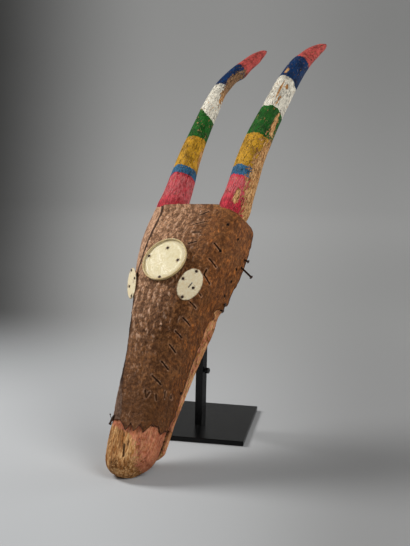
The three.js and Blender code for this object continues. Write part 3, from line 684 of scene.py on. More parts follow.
def horn_rings(side, diameters):
    """Horn: rings square to the centre line, their radius uneven like adzed wood, with a broken step at
    the back of the mask's right horn. Gives points, the turn round the horn and the place along it."""
    share = np.linspace(0.0, 1, 300)
    share = np.concatenate([share[:-1], 1 - np.geomspace(0.003, 0.0004, 4)])
    line = flowing([(side * x, depth, z) for x, depth, z in HORN_LINE], share)
    ahead = np.gradient(line, share, axis=0)
    ahead /= np.linalg.norm(ahead, axis=1, keepdims=True)
    across = np.array([1.0, 0, 0]) - ahead * ahead[:, :1]
    across /= np.linalg.norm(across, axis=1, keepdims=True)
    back = np.cross(across, ahead)
    turn = np.linspace(-math.pi, math.pi, 120, endpoint=False)[None, :]
    t = share[:, None]
    shift = 0 if side > 0 else 1.3
    chips = 1 + 0.035 * np.sin(3 * (turn + shift) + 9 * t) + 0.02 * np.sin(5 * (turn + shift) - 14 * t)
    if side < 0:
        chips = chips + 0.34 * np.exp(-(((t - 0.78) / 0.04) ** 2)) * np.maximum(0, np.sin(turn)) ** 2
    radius = (along(diameters, line[:, 2]) / 2 * HORN_SWELL)[:, None] * chips
    ring = line[:, None, :] + radius[..., None] * (
        np.cos(turn)[..., None] * across[:, None, :] + np.sin(turn)[..., None] * back[:, None, :])
    walked = share[:, None] * HORN_RUN + 0 * turn
    grain = np.stack([radius * np.cos(turn), radius * np.sin(turn), walked], -1)
    return ring, grain, np.degrees(turn) + 0 * t, line[:, 2][:, None] + 0 * turn


def patch(turn, place, turn_at, turn_half, place_at, place_half):
    """Field that is positive inside an oval patch of the horn and falls to -1 at twice its size."""
    off = (turn - turn_at + 180) % 360 - 180
    return np.maximum(1 - np.hypot(off / turn_half, (place - place_at) / place_half), -1)


def horn_wear(side, turn, place):
    """Where the horn's paint is gone, as the largest of the patches that cover it."""
    spots = BARE_LEFT if side > 0 else BARE_RIGHT
    return np.max([patch(turn, place, *spot) for spot in spots], axis=0)


def carve_horn(name, side, diameters, ends, material):
    """Horn: its rings moved along their normals by facets, grooves and nicks, lower where the paint is gone,
    with the band that each point belongs to."""
    ring, grain, turn, place = horn_rings(side, diameters)
    normal = outward(ring)
    if np.einsum("ijk,ijk->", normal, ring - ring.mean(1, keepdims=True)) < 0:
        normal = -normal
    seed = 31 if side > 0 else 37
    facets = unevenness(grain * np.array([1, 1, 0.3]), 8.0, seed)
    grooves = unevenness(grain * np.array([1, 1, 0.08]), 2.2, seed + 1)
    nicks = np.minimum(0, unevenness(grain * np.array([1, 1, 0.6]), 5.0, seed + 2) + 0.55)
    bare = horn_wear(side, turn, place)
    thin = np.clip(along(diameters, place) / 20, 0.15, 1)
    amount = (0.45 * facets + 0.22 * grooves + 1.6 * nicks - 0.35 * ease(-0.1, 0.25, bare)) * thin
    ring = ring + normal * amount[..., None]
    points, quads, tris = closed_by_caps(ring, [(0.75, 0.0), (0.4, 0.0)])
    band = np.interp(place, ends, BAND_ENDS_LEFT)
    band = band + 3.0 * np.sin(np.radians(turn) + side) + 2.2 * layered(grain, 9.0, seed + 4)
    if side < 0:
        band = band + 17 * np.cos(np.radians(turn)) * np.exp(-(((place - 652) / 26) ** 2))

    def full(values):
        """Values of the rings carried on to the caps and poles."""
        rows = np.concatenate([values[:1], values[:1], values, values[-1:], values[-1:]])
        return np.concatenate([rows.reshape(-1, *values.shape[2:]), values[:1, 0], values[-1:, 0]])

    fields = {"grain": full(grain), "band": full(band), "bare": full(bare), "place": full(place)}
    mask_piece(name, points, quads, tris, material, fields, "carved_wood", "mask_wood")


# Tin sheets


def wander(s, size, seed):
    """Unevenness along one measure alone, for edges that aren't cut straight."""
    return unevenness(np.stack([s, 0 * s, 0 * s], -1), size, seed)


def left_edge_arc(place, seed):
    """Arc of the front sheet's torn edge: the measured line up to the notch, the rear rim above it."""
    rim = lip_arc(place) + RIM_TURN
    line = np.where(place < NOTCH_END - 4, along(LEFT_EDGE, place), rim)
    return line + 0.9 * wander(place, 6.0, seed)


def tin_dents(arc, place, strength):
    """Beaten tin: broad dents, flutes along the head with blows between them, and a soft ridge where the
    front turns. Gives the height, how far the small work stands up, from -1 to 1, and where it is."""
    at = np.stack([arc, place, 0 * arc], -1)
    broad = layered(at, 26.0, 51)
    swayed = arc + 3.0 * unevenness(np.stack([arc * 0.3, place, 0 * arc], -1), 31.0, 52)
    flutes = np.cos(swayed * (2 * math.pi / FLUTE_PITCH))
    folds = np.cos(swayed * (2 * math.pi / FOLD_PITCH) + 0.6)
    folds = folds * ease(60, 30, arc) * ease(110, 150, place)
    slanted = np.stack([arc + 0.16 * place, 0.62 * place, 0 * arc], -1)
    blows = layered(slanted, BLOW_SIZE, 53)
    fine = unevenness(at * np.array([1.0, 0.8, 1.0]), 2.6, 55)
    beaten = ease(-75, -50, arc) * ease(72, 20, arc) * ease(165, 235, place)
    ridge = np.exp(-(((arc - along(FACET_RIDGE, place)) / 5.0) ** 2)) * ease(190, 225, place)
    small = (0.05 + 0.3 * beaten) * flutes + (0.55 + 0.95 * beaten) * blows
    small = small + (0.35 + 0.35 * beaten) * fine
    height = strength * (0.6 * broad + 0.45 * folds + 0.8 * small + 0.5 * ridge)
    return height, np.clip(small, -1, 1), beaten


def sheet_shell(name, arc, place, lift, thick, material, measures, node):
    """Sheet of even thickness over the wood: outer layer, inner layer and the rim that joins them."""
    under, over = on_skin(arc, place, lift), on_skin(arc, place, lift + thick)
    points = np.concatenate([over.reshape(-1, 3), under.reshape(-1, 3)])
    fields = sheet_fields(points, *[np.tile(f.ravel(), 2) for f in (arc, place, *measures)])
    mask_piece(name, points, shell_quads(*arc.shape), None, material, fields, "rusty_tin", node)


def sheet_fields(points, arc, place, edge, seam, raised, beaten):
    """What the tin's finish needs: distances to cuts, holes, torn edge and seam, in millimetres."""
    cuts = np.min([distance_to_run(arc, place, run) for run in CUTS], axis=0)
    holes = np.min([np.hypot(arc - a, place - z) for a, z in PIN_HOLES], axis=0)
    return {
        "grain": points, "arc": arc, "place": place, "cut": np.minimum(cuts, 20),
        "hole": np.minimum(holes, 20), "edge": edge, "seam": seam, "raised": raised, "beaten": beaten,
    }


def beat_front_sheet(material, thick, dent):
    """Front sheet: arc from the seam (u = 0) to the torn edge (u = 1), place from the toothed edge (v = 0)
    to the crown (v = 1). It lies higher by the seam, where the side sheet is tucked under it."""
    u = np.linspace(0, 1, 190)[None, :]
    v = np.linspace(0, 1, 250)[:, None] ** 0.97
    bottom = between(TOOTH_EDGE, u) + 0.8 * wander(u * 200, 5.0, 61)
    top = along(TOP_EDGE, u)
    place = bottom + (top - bottom) * v
    seam = 3 - along(SEAM_ARC, place) + 0.8 * wander(place, 9.0, 63)
    edge = left_edge_arc(place, 65)
    arc = seam + u * (edge - seam)
    lifted = ease(26, 2, arc) * SEAM_LIFT
    ripple = layered(np.stack([place, 0 * place, 0 * place], -1), 17.0, 67)
    curl = np.exp(-((arc - seam) / 5.0)) * (0.5 + 0.9 * ripple)
    cuts = np.min([distance_to_run(arc, place, run) for run in CUTS], axis=0)
    groove = -0.9 * np.exp(-((cuts / 1.5) ** 2)) + 0.45 * np.exp(-(((cuts - 3.2) / 1.4) ** 2))
    near_rim = ease(0, 3, np.minimum(edge - arc, np.minimum(place - bottom, top - place)))
    crease = -1.3 * np.exp(-((distance_to_run(arc, place, CREASE) / 2.3) ** 2))
    scratch = -0.4 * np.exp(-((distance_to_run(arc, place, SCRATCH) / 1.5) ** 2))
    dents, raised, beaten = tin_dents(arc, place, dent)
    toe = 1.3 * np.exp(-(place - bottom) / 4.0) * (1 + 0.6 * wander(u * 200 + 0 * v, 7.0, 69))
    lift = SHEET_GAP + lifted + np.maximum(dents, DEEPEST_DENT)
    lift = lift + groove * near_rim + crease + scratch
    lift = lift + np.maximum(curl, 0) + np.maximum(toe, 0)
    lift = np.maximum(lift, LEAST_LIFT)
    border = np.minimum(edge - arc, place - bottom + 0.2)
    # The scratch counts as raised, so it is spared the painted hollow shade and takes the painted highlight.
    raised = raised + 0.8 * np.exp(-((distance_to_run(arc, place, SCRATCH) / 1.3) ** 2))
    # The seam's measure feeds the painted shade along the seam in the tin's finish.
    measures = (border, (arc - seam) * 2, raised, beaten)
    sheet_shell("front_sheet_tin", arc, place, lift, thick, material, measures, "front_sheet")


def beat_side_sheet(material, thick, dent):
    """Side sheet: arc from the rear rim on the mask's right (u = 0) to under the seam (u = 1)."""
    u = np.linspace(0, 1, 120)[None, :]
    v = np.linspace(0, 1, 240)[:, None]
    bottom = SHEET_BOTTOM + 1.1 * wander(u * 90, 5.0, 71)
    top = TOP_EDGE[0][1] - 0.6
    place = bottom + (top - bottom) * v
    rim = lip_arc(place) + RIM_TURN
    rim = np.where(place < 292, lip_arc(place) - 9 * ease(292, 276, place), rim)
    edge = -rim + 0.9 * wander(place, 7.0, 73)
    seam = -(along(SEAM_ARC, place) - SEAM_LAP)
    arc = edge + u * (seam - edge)
    crumple = np.exp(-(((place - CRUMPLE_AT) / 9.0) ** 2)) * ease(-35, -50, arc)
    at = np.stack([arc, place * 2.2, 0 * arc], -1)
    tucked = ease(SEAM_LAP + 6, SEAM_LAP - 1, seam - arc + SEAM_LAP)
    dents, raised, beaten = tin_dents(arc - 200, place, dent)
    dents = np.maximum(dents, DEEPEST_DENT) * (1 - 0.8 * tucked)
    lift = np.maximum(SHEET_GAP + dents + 0.8 * crumple * unevenness(at, 7.0, 75), LEAST_LIFT)
    border = np.minimum(arc - edge, place - bottom + 1.5)
    # Measure for the painted shadow that the front sheet's edge casts on the side sheet beside the seam.
    gap = np.maximum(0, 3 - along(SEAM_ARC, place) - arc - 3.5)
    measures = (border, gap, raised, beaten)
    sheet_shell("side_sheet_tin", arc, place, lift, thick, material, measures, "side_sheet")


# Lid, discs and nails


def flat_frame(node, yaw, pitch, roll):
    """Middle of a flat thing's underside and its across, up and out directions, all in the mask's frame.
    Out is the depth axis turned by yaw and pitch, and the middle comes from the solid's own corners."""
    y, p, r = math.radians(yaw), math.radians(pitch), math.radians(roll)
    out = np.array([math.sin(y) * math.cos(p), math.cos(y) * math.cos(p), math.sin(p)])
    up = np.array([0, 0, 1.0]) - out * out[2]
    up /= np.linalg.norm(up)
    across = np.cross(out, up)
    side = across * math.cos(r) + up * math.sin(r)
    up = up * math.cos(r) - across * math.sin(r)
    points = node_points(node)
    low = points @ out
    middle = [((points @ axis).min() + (points @ axis).max()) / 2 for axis in (side, up)]
    return side * middle[0] + up * middle[1] + out * low.min(), np.stack([side, up, out])


def lid_frame():
    """Frame of the jar lid on the brow."""
    return flat_frame("forehead_lid", 0, LID["pitch"], 0)


def eye_frame(side):
    """Frame of an eye disc, turned the other way on the mask's left."""
    roll = -EYE["roll"] if side == "left" else EYE["roll"]
    return flat_frame(f"eye_disc_{side}", EYE_YAW[side], EYE["pitch"], roll)


def placed(points, at, axes):
    """Local points (across, up, out) put into a frame."""
    return at + points @ axes


def from_spots(points, spots):
    """Distance in the plane from each point to the nearest of some spots."""
    return np.min([np.hypot(points[:, 0] - x, points[:, 1] - y) for x, y in spots], axis=0)


def lid_profile(radius, height, wall):
    """Pan with a turned-out rolled rim: outside of the floor, wall, roll, inside of the wall, floor with a
    shallow pressed ring."""
    r = radius - 0.5
    floor = wall + 1.6
    bend = np.linspace(0, math.pi / 2, 7)
    outer = [(r - 2.2 + 2.2 * math.sin(a), 2.2 - 2.2 * math.cos(a)) for a in bend]
    roll = np.linspace(-1.1, 3.6, 16)
    curl = [(radius - 1.15 + 1.1 * math.cos(a), height - 1.15 + 1.1 * math.sin(a)) for a in roll]
    inner = [(r - wall - 2.6 + 2.6 * math.cos(a), floor + 2.6 - 2.6 * math.sin(a)) for a in bend]
    shares = np.linspace(0.87, 0.06, 40)
    ring = [(s * radius, floor + 0.3 * math.exp(-(((s - 0.78) / 0.04) ** 2))) for s in shares]
    return [(0, 0), (r * 0.5, 0)] + outer + [(r, height * 0.55)] + curl + inner + ring + [(0, floor)]


def press_lid(material):
    """Jar lid: its profile turned round, with shallow dents inside the rim and a wavy edge."""
    at, axes = lid_frame()
    local, quads, tris = lathe(lid_profile(LID["radius"], LID["height"], LID["wall"]), 144)
    flat = np.hypot(local[:, 0], local[:, 1])
    inside = ease(LID["radius"] - 3, LID["radius"] - 6, flat)
    dents = 0.22 * layered(local, 16.0, 81) * inside * (local[:, 2] > 0.5)
    wavy = 0.25 * unevenness(local, 13.0, 83) * ease(LID["radius"] - 3, LID["radius"], flat)
    local = local + np.stack([0 * flat, 0 * flat, dents - np.abs(wavy)], -1)
    stain = from_spots(local, LID_TACKS)
    fields = {"grain": local, "radius": flat, "height": local[:, 2], "stain": stain}
    points = placed(local, at, axes)
    mask_piece("lid_pan", points, quads, tris, material, fields, "cream_tin", "forehead_lid")


def cut_disc(side, material):
    """Oval disc: a low dome on both faces, radius scaled to the oval's two half widths."""
    at, axes = eye_frame(side)
    share = np.concatenate([np.linspace(0.04, 0.96, 24), [0.985, 1.0]])[:, None]
    turn = np.linspace(0, 2 * math.pi, 110, endpoint=False)[None, :]
    rim_line = np.stack([20 * np.cos(turn), 20 * np.sin(turn), 0 * turn], -1)
    ragged = 1 - 0.008 * (1 + unevenness(rim_line, 5.0, 91))
    x = EYE["short"] * share * np.cos(turn) * ragged
    y = EYE["long"] * share * np.sin(turn) * ragged
    flat = np.stack([x, y, 0 * x], -1)
    dish = 0.16 * layered(flat, 11.0, 93 if side == "left" else 97)
    top = EYE["thick"] - 0.05 - 0.45 * ease(0.93, 1.0, share) + dish * ease(1, 0.9, share)
    top_grid = np.stack([x, y, top + 0 * x], -1)
    low_grid = np.stack([x, y, 0.25 * ease(0.9, 1.0, share) + 0 * x], -1)
    rows = np.concatenate([top_grid, low_grid[::-1]])
    points, quads, tris = capped(rows, [0, 0, top[0, 0]], [0, 0, 0])
    rim = np.append((1 - share + 0 * turn).ravel(), (1 - share[::-1] + 0 * turn).ravel())
    rim = np.append(rim, [1, 1]) * EYE["short"]
    slot = distance_to_run(points[:, 0], points[:, 1], DISC_SLOT) if side == "left" else 20 + 0 * rim
    fields = {"grain": points, "rim": rim, "stain": from_spots(points, EYE_TACKS), "slot": slot}
    points = placed(points, at, axes)
    mask_piece(f"disc_{side}", points, quads, tris, material, fields, "cream_tin", f"eye_disc_{side}")


def tack_profile(length):
    """Small nail: pointed shank, flat underside of the head and a domed top."""
    head, dome, stem = TACK["head"], TACK["dome"], TACK["stem"]
    top = [(head * math.cos(a), dome * math.sin(a)) for a in np.linspace(0.12, math.pi / 2 - 0.15, 7)]
    shank = [(0, -length), (stem * 0.6, -length + 1.2), (stem, -length + 2.5), (stem, 0)]
    return shank + [(head * 0.92, 0)] + top + [(0, dome)]


def drive_tacks(name, solid, spots, frame_at, rise, length, material):
    """Tacks through a thin plate, their heads on its face, each head's top a little uneven."""
    at, axes = frame_at
    parts = []
    for k, (x, y) in enumerate(spots):
        local, quads, tris = lathe(tack_profile(length), 18)
        local[:, 2] += 0.1 * unevenness(local + 9.0 * k, 1.4, 101 + k) * (local[:, 2] > 0.1)
        local = local + np.array([x, y, rise + 0.4])
        parts.append((placed(local, at, axes), quads, tris))
    points, quads, tris = gathered(parts)
    solids = [f"{solid}_{k + 1}" for k in range(len(spots))]
    mask_piece(name, points, quads, tris, material, {"grain": points}, "nail_iron", *solids)


def drive_edge_nails(material):
    """Nails that stand out along the left cheek: shank and hammered head turned about their slant."""
    parts = []
    for k, slant in enumerate(EDGE_NAIL_SLANTS):
        corners = node_points(f"edge_nail_{k + 1}")
        ahead = np.array([slant[0], -slant[1], slant[2]], float)
        ahead /= np.linalg.norm(ahead)
        low, high = (corners @ ahead).min(), (corners @ ahead).max()
        middle = (corners.min(0) + corners.max(0)) / 2
        middle = middle + ahead * ((low + high) / 2 - middle @ ahead)
        length = high - low
        rim = [(3.1 * math.cos(a), length - 1.15 + 1.05 * math.sin(a)) for a in np.linspace(0.1, 1.35, 6)]
        shank = [(0, 0), (0.6, 0.8), (1.5, 3), (1.6, length - 1.3), (2.8, length - 1.2)]
        local, quads, tris = lathe(shank + rim + [(0, length)], 20)
        askew = [unevenness(local + 5.0 * k, 3.0, 111), unevenness(local, 3.0, 112)]
        local[:, :2] += 0.12 * np.stack(askew, -1)
        side = np.cross(ahead, [0, 0, 1.0])
        side /= np.linalg.norm(side)
        axes = np.stack([side, np.cross(ahead, side), ahead])
        parts.append((placed(local, middle - ahead * length / 2, axes), quads, tris))
    points, quads, tris = gathered(parts)
    solids = [f"edge_nail_{k + 1}" for k in range(len(EDGE_NAIL_SLANTS))]
    mask_piece("edge_nails", points, quads, tris, material, {"grain": points}, "nail_iron", *solids)


def drawn_rod(knots, radius_at):
    """Round section carried along a smooth path: the centre plus the radius times the turning side."""
    share = np.linspace(0, 1, 40)
    line = flowing(knots, share)
    ahead = np.gradient(line, axis=0)
    ahead /= np.linalg.norm(ahead, axis=1, keepdims=True)
    side = np.cross(ahead, [0, 0, 1.0])
    side /= np.linalg.norm(side, axis=1, keepdims=True)
    up = np.cross(ahead, side)
    turn = np.linspace(0, 2 * math.pi, 14, endpoint=False)
    radius = radius_at(share) - 0.06 * np.abs(unevenness(line, 4.0, 121))
    c, s = np.cos(turn)[None, :, None], np.sin(turn)[None, :, None]
    rings = line[:, None, :] + radius[:, None, None] * (c * side[:, None, :] + s * up[:, None, :])
    return closed_by_caps(rings, [(0.7, 0.0)])


def bend_nail(material):
    """Nail bent over, with a blunt head at its end and a thin splinter of wire beside it."""
    nail = drawn_rod(BENT_NAIL, lambda share: 1.6 + 0.55 * ease(0.86, 0.92, share))
    wire = drawn_rod(WIRE_SPLINTER, lambda share: 0.5 + 0.55 * ease(0.8, 0.9, share))
    points, quads, tris = gathered([nail, wire])
    mask_piece("bent_over_nail", points, quads, tris, material, {"grain": points}, "nail_iron", "bent_nail")


def turn_knob(material):
    """Thumb screw turned about x: stem, chamfered knob and a shallow dished end."""
    low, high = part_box("clamp_screw")
    y, z = (low.y + high.y) / 2 / MM, (low.z + high.z) / 2 / MM
    start, end = low.x / MM, high.x / MM
    rim = (high.z - low.z) / 2 / MM
    head, inner = end - KNOB["thick"], rim - KNOB["edge"]
    stem, edge = KNOB["stem"], KNOB["edge"]
    bend = np.linspace(0, math.pi / 2, 6)
    profile = [(0, start), (stem, start), (stem, head), (inner, head)]
    profile += [(inner + edge * math.sin(a), head + edge - edge * math.cos(a)) for a in bend]
    profile += [(inner + edge * math.cos(a), end - edge + edge * math.sin(a)) for a in bend]
    profile += [(rim * 0.6, end - 0.1), (rim * 0.4, end - 0.35), (0, end - 0.4)]
    local, quads, tris = lathe(profile, 48)
    points = np.stack([local[:, 2], y + local[:, 0], z + local[:, 1]], -1)
    fields = {"grain": points}
    make_piece("thumb_screw", points, quads, tris, material, fields, "black_steel", ["clamp_screw"])


# Finishes


class Bench:
    """Short words for laying out one node tree. Each gives the socket that it makes."""

    def __init__(self, tree):
        self.tree = tree

    def node(self, kind, **values):
        """New node with some of its values set."""
        made = self.tree.nodes.new(kind)
        for key, value in values.items():
            setattr(made, key, value)
        return made

    def link(self, a, b):
        """Link from one socket to another."""
        self.tree.links.new(a, b)

    def feed(self, socket, value):
        """Socket fed by another socket, or set to a colour or a number."""
        if isinstance(value, bpy.types.NodeSocket):
            self.link(value, socket)
        elif hasattr(value, "__len__") and len(value) == 3 and socket.type == "RGBA":
            socket.default_value = (*value, 1.0)
        else:
            socket.default_value = value

    def reckon(self, operation, a, b=0.0):
        """One reckoning with two numbers."""
        made = self.node("ShaderNodeMath", operation=operation)
        self.feed(made.inputs[0], a)
        self.feed(made.inputs[1], b)
        return made.outputs[0]

    def plus(self, a, b):
        """The two added."""
        return self.reckon("ADD", a, b)

    def minus(self, a, b):
        """The first less the second."""
        return self.reckon("SUBTRACT", a, b)

    def times(self, a, b):
        """The two multiplied."""
        return self.reckon("MULTIPLY", a, b)

    def divided(self, a, b):
        """The first divided by the second."""
        return self.reckon("DIVIDE", a, b)

    def larger(self, a, b):
        """The larger of the two."""
        return self.reckon("MAXIMUM", a, b)

    def size(self, a):
        """The number without its sign."""
        return self.reckon("ABSOLUTE", a)

    def step(self, value, low, high, start=0.0, end=1.0):
        """Value carried from low..high to start..end with a smooth run."""
        made = self.node("ShaderNodeMapRange", interpolation_type="SMOOTHSTEP")
        self.feed(made.inputs["Value"], value)
        for name, amount in (("From Min", low), ("From Max", high), ("To Min", start), ("To Max", end)):
            self.feed(made.inputs[name], amount)
        return made.outputs["Result"]

    def blend(self, share, a, b, way="MIX"):
        """Colour a with a share of colour b in it."""
        made = self.node("ShaderNodeMix", data_type="RGBA", blend_type=way)
        self.feed(made.inputs[0], share)
        self.feed(made.inputs[6], a)
        self.feed(made.inputs[7], b)
        return made.outputs[2]

    def field(self, name, vector=False):
        """Measure kept on the piece's points."""
        made = self.node("ShaderNodeAttribute", attribute_type="GEOMETRY", attribute_name=name)
        return made.outputs["Vector" if vector else "Fac"]

    def noise(self, vector, scale, detail=3.0, rough=0.55):
        """Cloudy noise."""
        made = self.node("ShaderNodeTexNoise")
        self.feed(made.inputs["Vector"], vector)
        self.feed(made.inputs["Scale"], scale)
        self.feed(made.inputs["Detail"], detail)
        self.feed(made.inputs["Roughness"], rough)
        return made.outputs["Fac"]

    def cells(self, vector, scale):
        """Distance to the middle of the nearest cell."""
        made = self.node("ShaderNodeTexVoronoi", feature="F1")
        self.feed(made.inputs["Vector"], vector)
        self.feed(made.inputs["Scale"], scale)
        return made.outputs["Distance"]

    def stretch(self, vector, scale, turn=(0, 0, 0)):
        """Coordinates scaled along each axis, and turned."""
        made = self.node("ShaderNodeMapping")
        self.feed(made.inputs["Vector"], vector)
        made.inputs["Scale"].default_value = scale
        made.inputs["Rotation"].default_value = turn
        return made.outputs["Vector"]

    def grown(self, vector, size):
        """Coordinates scaled alike along every axis."""
        made = self.node("ShaderNodeVectorMath", operation="SCALE")
        self.link(vector, made.inputs[0])
        self.link(size, made.inputs["Scale"])
        return made.outputs[0]

    def bump(self, height, distance, strength=1.0):
        """Normal that follows a height."""
        made = self.node("ShaderNodeBump")
        self.feed(made.inputs["Height"], height)
        made.inputs["Distance"].default_value = distance
        made.inputs["Strength"].default_value = strength
        return made.outputs["Normal"]

    def group(self, tree, **values):
        """Outputs of a shared effect, placed with its own values."""
        made = self.node("ShaderNodeGroup")
        made.node_tree = tree
        for name, value in values.items():
            self.feed(made.inputs[name], value)
        return made.outputs


def new_group(name, ins, outs):
    """Empty effect with its named inputs and outputs: (name, kind, default) in, plain numbers out."""
    tree = bpy.data.node_groups.new(name, "ShaderNodeTree")
    for label, kind, default in ins:
        made = tree.interface.new_socket(label, in_out="INPUT", socket_type=kind)
        if default is not None:
            made.default_value = default
    for label in outs:
        tree.interface.new_socket(label, in_out="OUTPUT", socket_type="NodeSocketFloat")
    bench = Bench(tree)
    return tree, bench, bench.node("NodeGroupInput").outputs, bench.node("NodeGroupOutput").inputs


def grain_group():
    """Wood grain: noise stretched along the place, with dark pores and longer open cracks. Coordinates are
    millimetres."""
    tree, b, i, o = new_group(
        "grain", [("Coordinates", "NodeSocketVector", None), ("Size", "NodeSocketFloat", 1.0)],
        ["Streaks", "Pores", "Cracks", "Blotches", "Height"])
    at = b.grown(i["Coordinates"], i["Size"])
    streaks = b.noise(b.stretch(at, (0.42, 0.42, 0.05)), 1.0, 5.0, 0.65)
    pores = b.noise(b.stretch(at, (0.62, 0.62, 0.14)), 1.0, 2.5, 0.55)
    cracks = b.noise(b.stretch(at, (0.30, 0.30, 0.045)), 1.0, 3.0, 0.5)
    blotches = b.noise(b.stretch(at, (0.09, 0.09, 0.045)), 1.0, 4.0, 0.6)
    pore_mask = b.step(pores, 0.57, 0.64)
    crack_mask = b.step(b.size(b.minus(cracks, 0.5)), 0.020, 0.006)
    crack_mask = b.times(crack_mask, b.step(blotches, 0.48, 0.58))
    b.link(b.step(streaks, 0.36, 0.64), o["Streaks"])
    b.link(pore_mask, o["Pores"])
    b.link(crack_mask, o["Cracks"])
    b.link(b.step(blotches, 0.38, 0.62), o["Blotches"])
    height = b.minus(streaks, b.times(pore_mask, 0.4))
    b.link(b.minus(height, b.times(crack_mask, 0.8)), o["Height"])
    return tree


def speckle_group():
    """Small round specks of unequal size, as a mask, from cells whose reach is broken by noise."""
    tree, b, i, o = new_group(
        "specks", [("Coordinates", "NodeSocketVector", None), ("Scale", "NodeSocketFloat", 0.3),
                   ("Amount", "NodeSocketFloat", 0.3)], ["Mask"])
    distance = b.cells(i["Coordinates"], i["Scale"])
    broken = b.plus(distance, b.times(b.noise(i["Coordinates"], i["Scale"], 3.0), 0.5))
    b.link(b.step(broken, i["Amount"], b.plus(i["Amount"], 0.12), 1.0, 0.0), o["Mask"])
    return tree


def mottle_group():
    """Cloudy mottling in three sizes."""
    tree, b, i, o = new_group(
        "mottle", [("Coordinates", "NodeSocketVector", None), ("Size", "NodeSocketFloat", 1.0)],
        ["Broad", "Small", "Fine"])
    at = b.grown(i["Coordinates"], i["Size"])
    b.link(b.step(b.noise(at, 0.045, 4.0, 0.6), 0.32, 0.68), o["Broad"])
    b.link(b.step(b.noise(at, 0.17, 4.0, 0.62), 0.34, 0.66), o["Small"])
    b.link(b.step(b.noise(at, 0.7, 3.0, 0.6), 0.35, 0.65), o["Fine"])
    return tree


def new_material(name):
    """Empty material with its shader: the material, its bench and the shader's sockets."""
    material = bpy.data.materials.new(name)
    material.use_nodes = True
    material.node_tree.nodes.clear()
    b = Bench(material.node_tree)
    shader = b.node("ShaderNodeBsdfPrincipled")
    out = b.node("ShaderNodeOutputMaterial")
    b.link(shader.outputs[0], out.inputs["Surface"])
    return material, b, shader.inputs


def wood_finish(groups, colours):
    """Dry ochre wood of the head: grain, open cracks, dark pores, painted shade round the mouth, under the
    muzzle and inside the hollow, a darker crown, dusty pink paint on one side.
    """
    material, b, s = new_material("carved_ochre_wood")
    at = b.field("grain", True)
    grain = b.group(groups["grain"], Coordinates=at, Size=1.0)
    mottle = b.group(groups["mottle"], Coordinates=at, Size=1.4)
    specks = b.group(groups["specks"], Coordinates=at, Scale=0.24, Amount=0.26)["Mask"]
    base = b.blend(grain["Streaks"], colours.wood_dark, colours.wood_light)
    base = b.blend(b.times(grain["Blotches"], 0.72), base, colours.wood_brown)
    pink = b.plus(b.field("pink"), b.times(b.minus(mottle["Small"], 0.5), 1.3))
    pink = b.times(b.step(pink, -0.4, 0.7), b.step(mottle["Fine"], 0.0, 0.6, 0.65, 1.0))
    pink = b.times(pink, b.step(grain["Streaks"], 0.0, 1.0, 1.0, 0.78))
    base = b.blend(pink, base, b.blend(mottle["Small"], colours.wood_pink, colours.wood_rose))
    # Painted shade round the mouth and jaw, on the muzzle's underside and inside the hollow, and a darker
    # crown, broken by mottling.
    dark = b.times(b.field("dark"), b.step(mottle["Small"], 0.15, 0.85, 0.45, 1.0))
    base = b.blend(dark, base, colours.wood_stain_and_shade)
    bare = b.minus(1.0, b.times(pink, 0.65))
    base = b.blend(b.times(b.times(grain["Pores"], 0.4), bare), base, colours.wood_stain_and_shade)
    knot = b.times(b.field("knot"), b.step(mottle["Small"], 0.2, 0.6, 0.3, 1.0))
    base = b.blend(b.times(knot, 0.8), base, colours.wood_knot)
    holes = b.times(b.field("knot"), b.step(mottle["Fine"], 0.72, 0.86))
    base = b.blend(holes, base, colours.wood_stain_and_shade)
    crack = b.step(b.plus(b.field("crack"), mottle["Fine"]), 2.9, 1.5)
    crack = b.larger(crack, b.times(grain["Cracks"], bare))
    crack = b.larger(crack, b.times(b.times(specks, 0.7), bare))
    base = b.blend(b.times(crack, 0.9), base, colours.wood_stain_and_shade)
    b.feed(s["Base Color"], base)
    b.feed(s["Roughness"], b.step(grain["Streaks"], 0, 1, 0.86, 0.66))
    s["Specular IOR Level"].default_value = 0.06
    height = b.minus(grain["Height"], b.times(crack, 0.8))
    b.feed(s["Normal"], b.bump(height, 0.0016, 1.0))
    return material


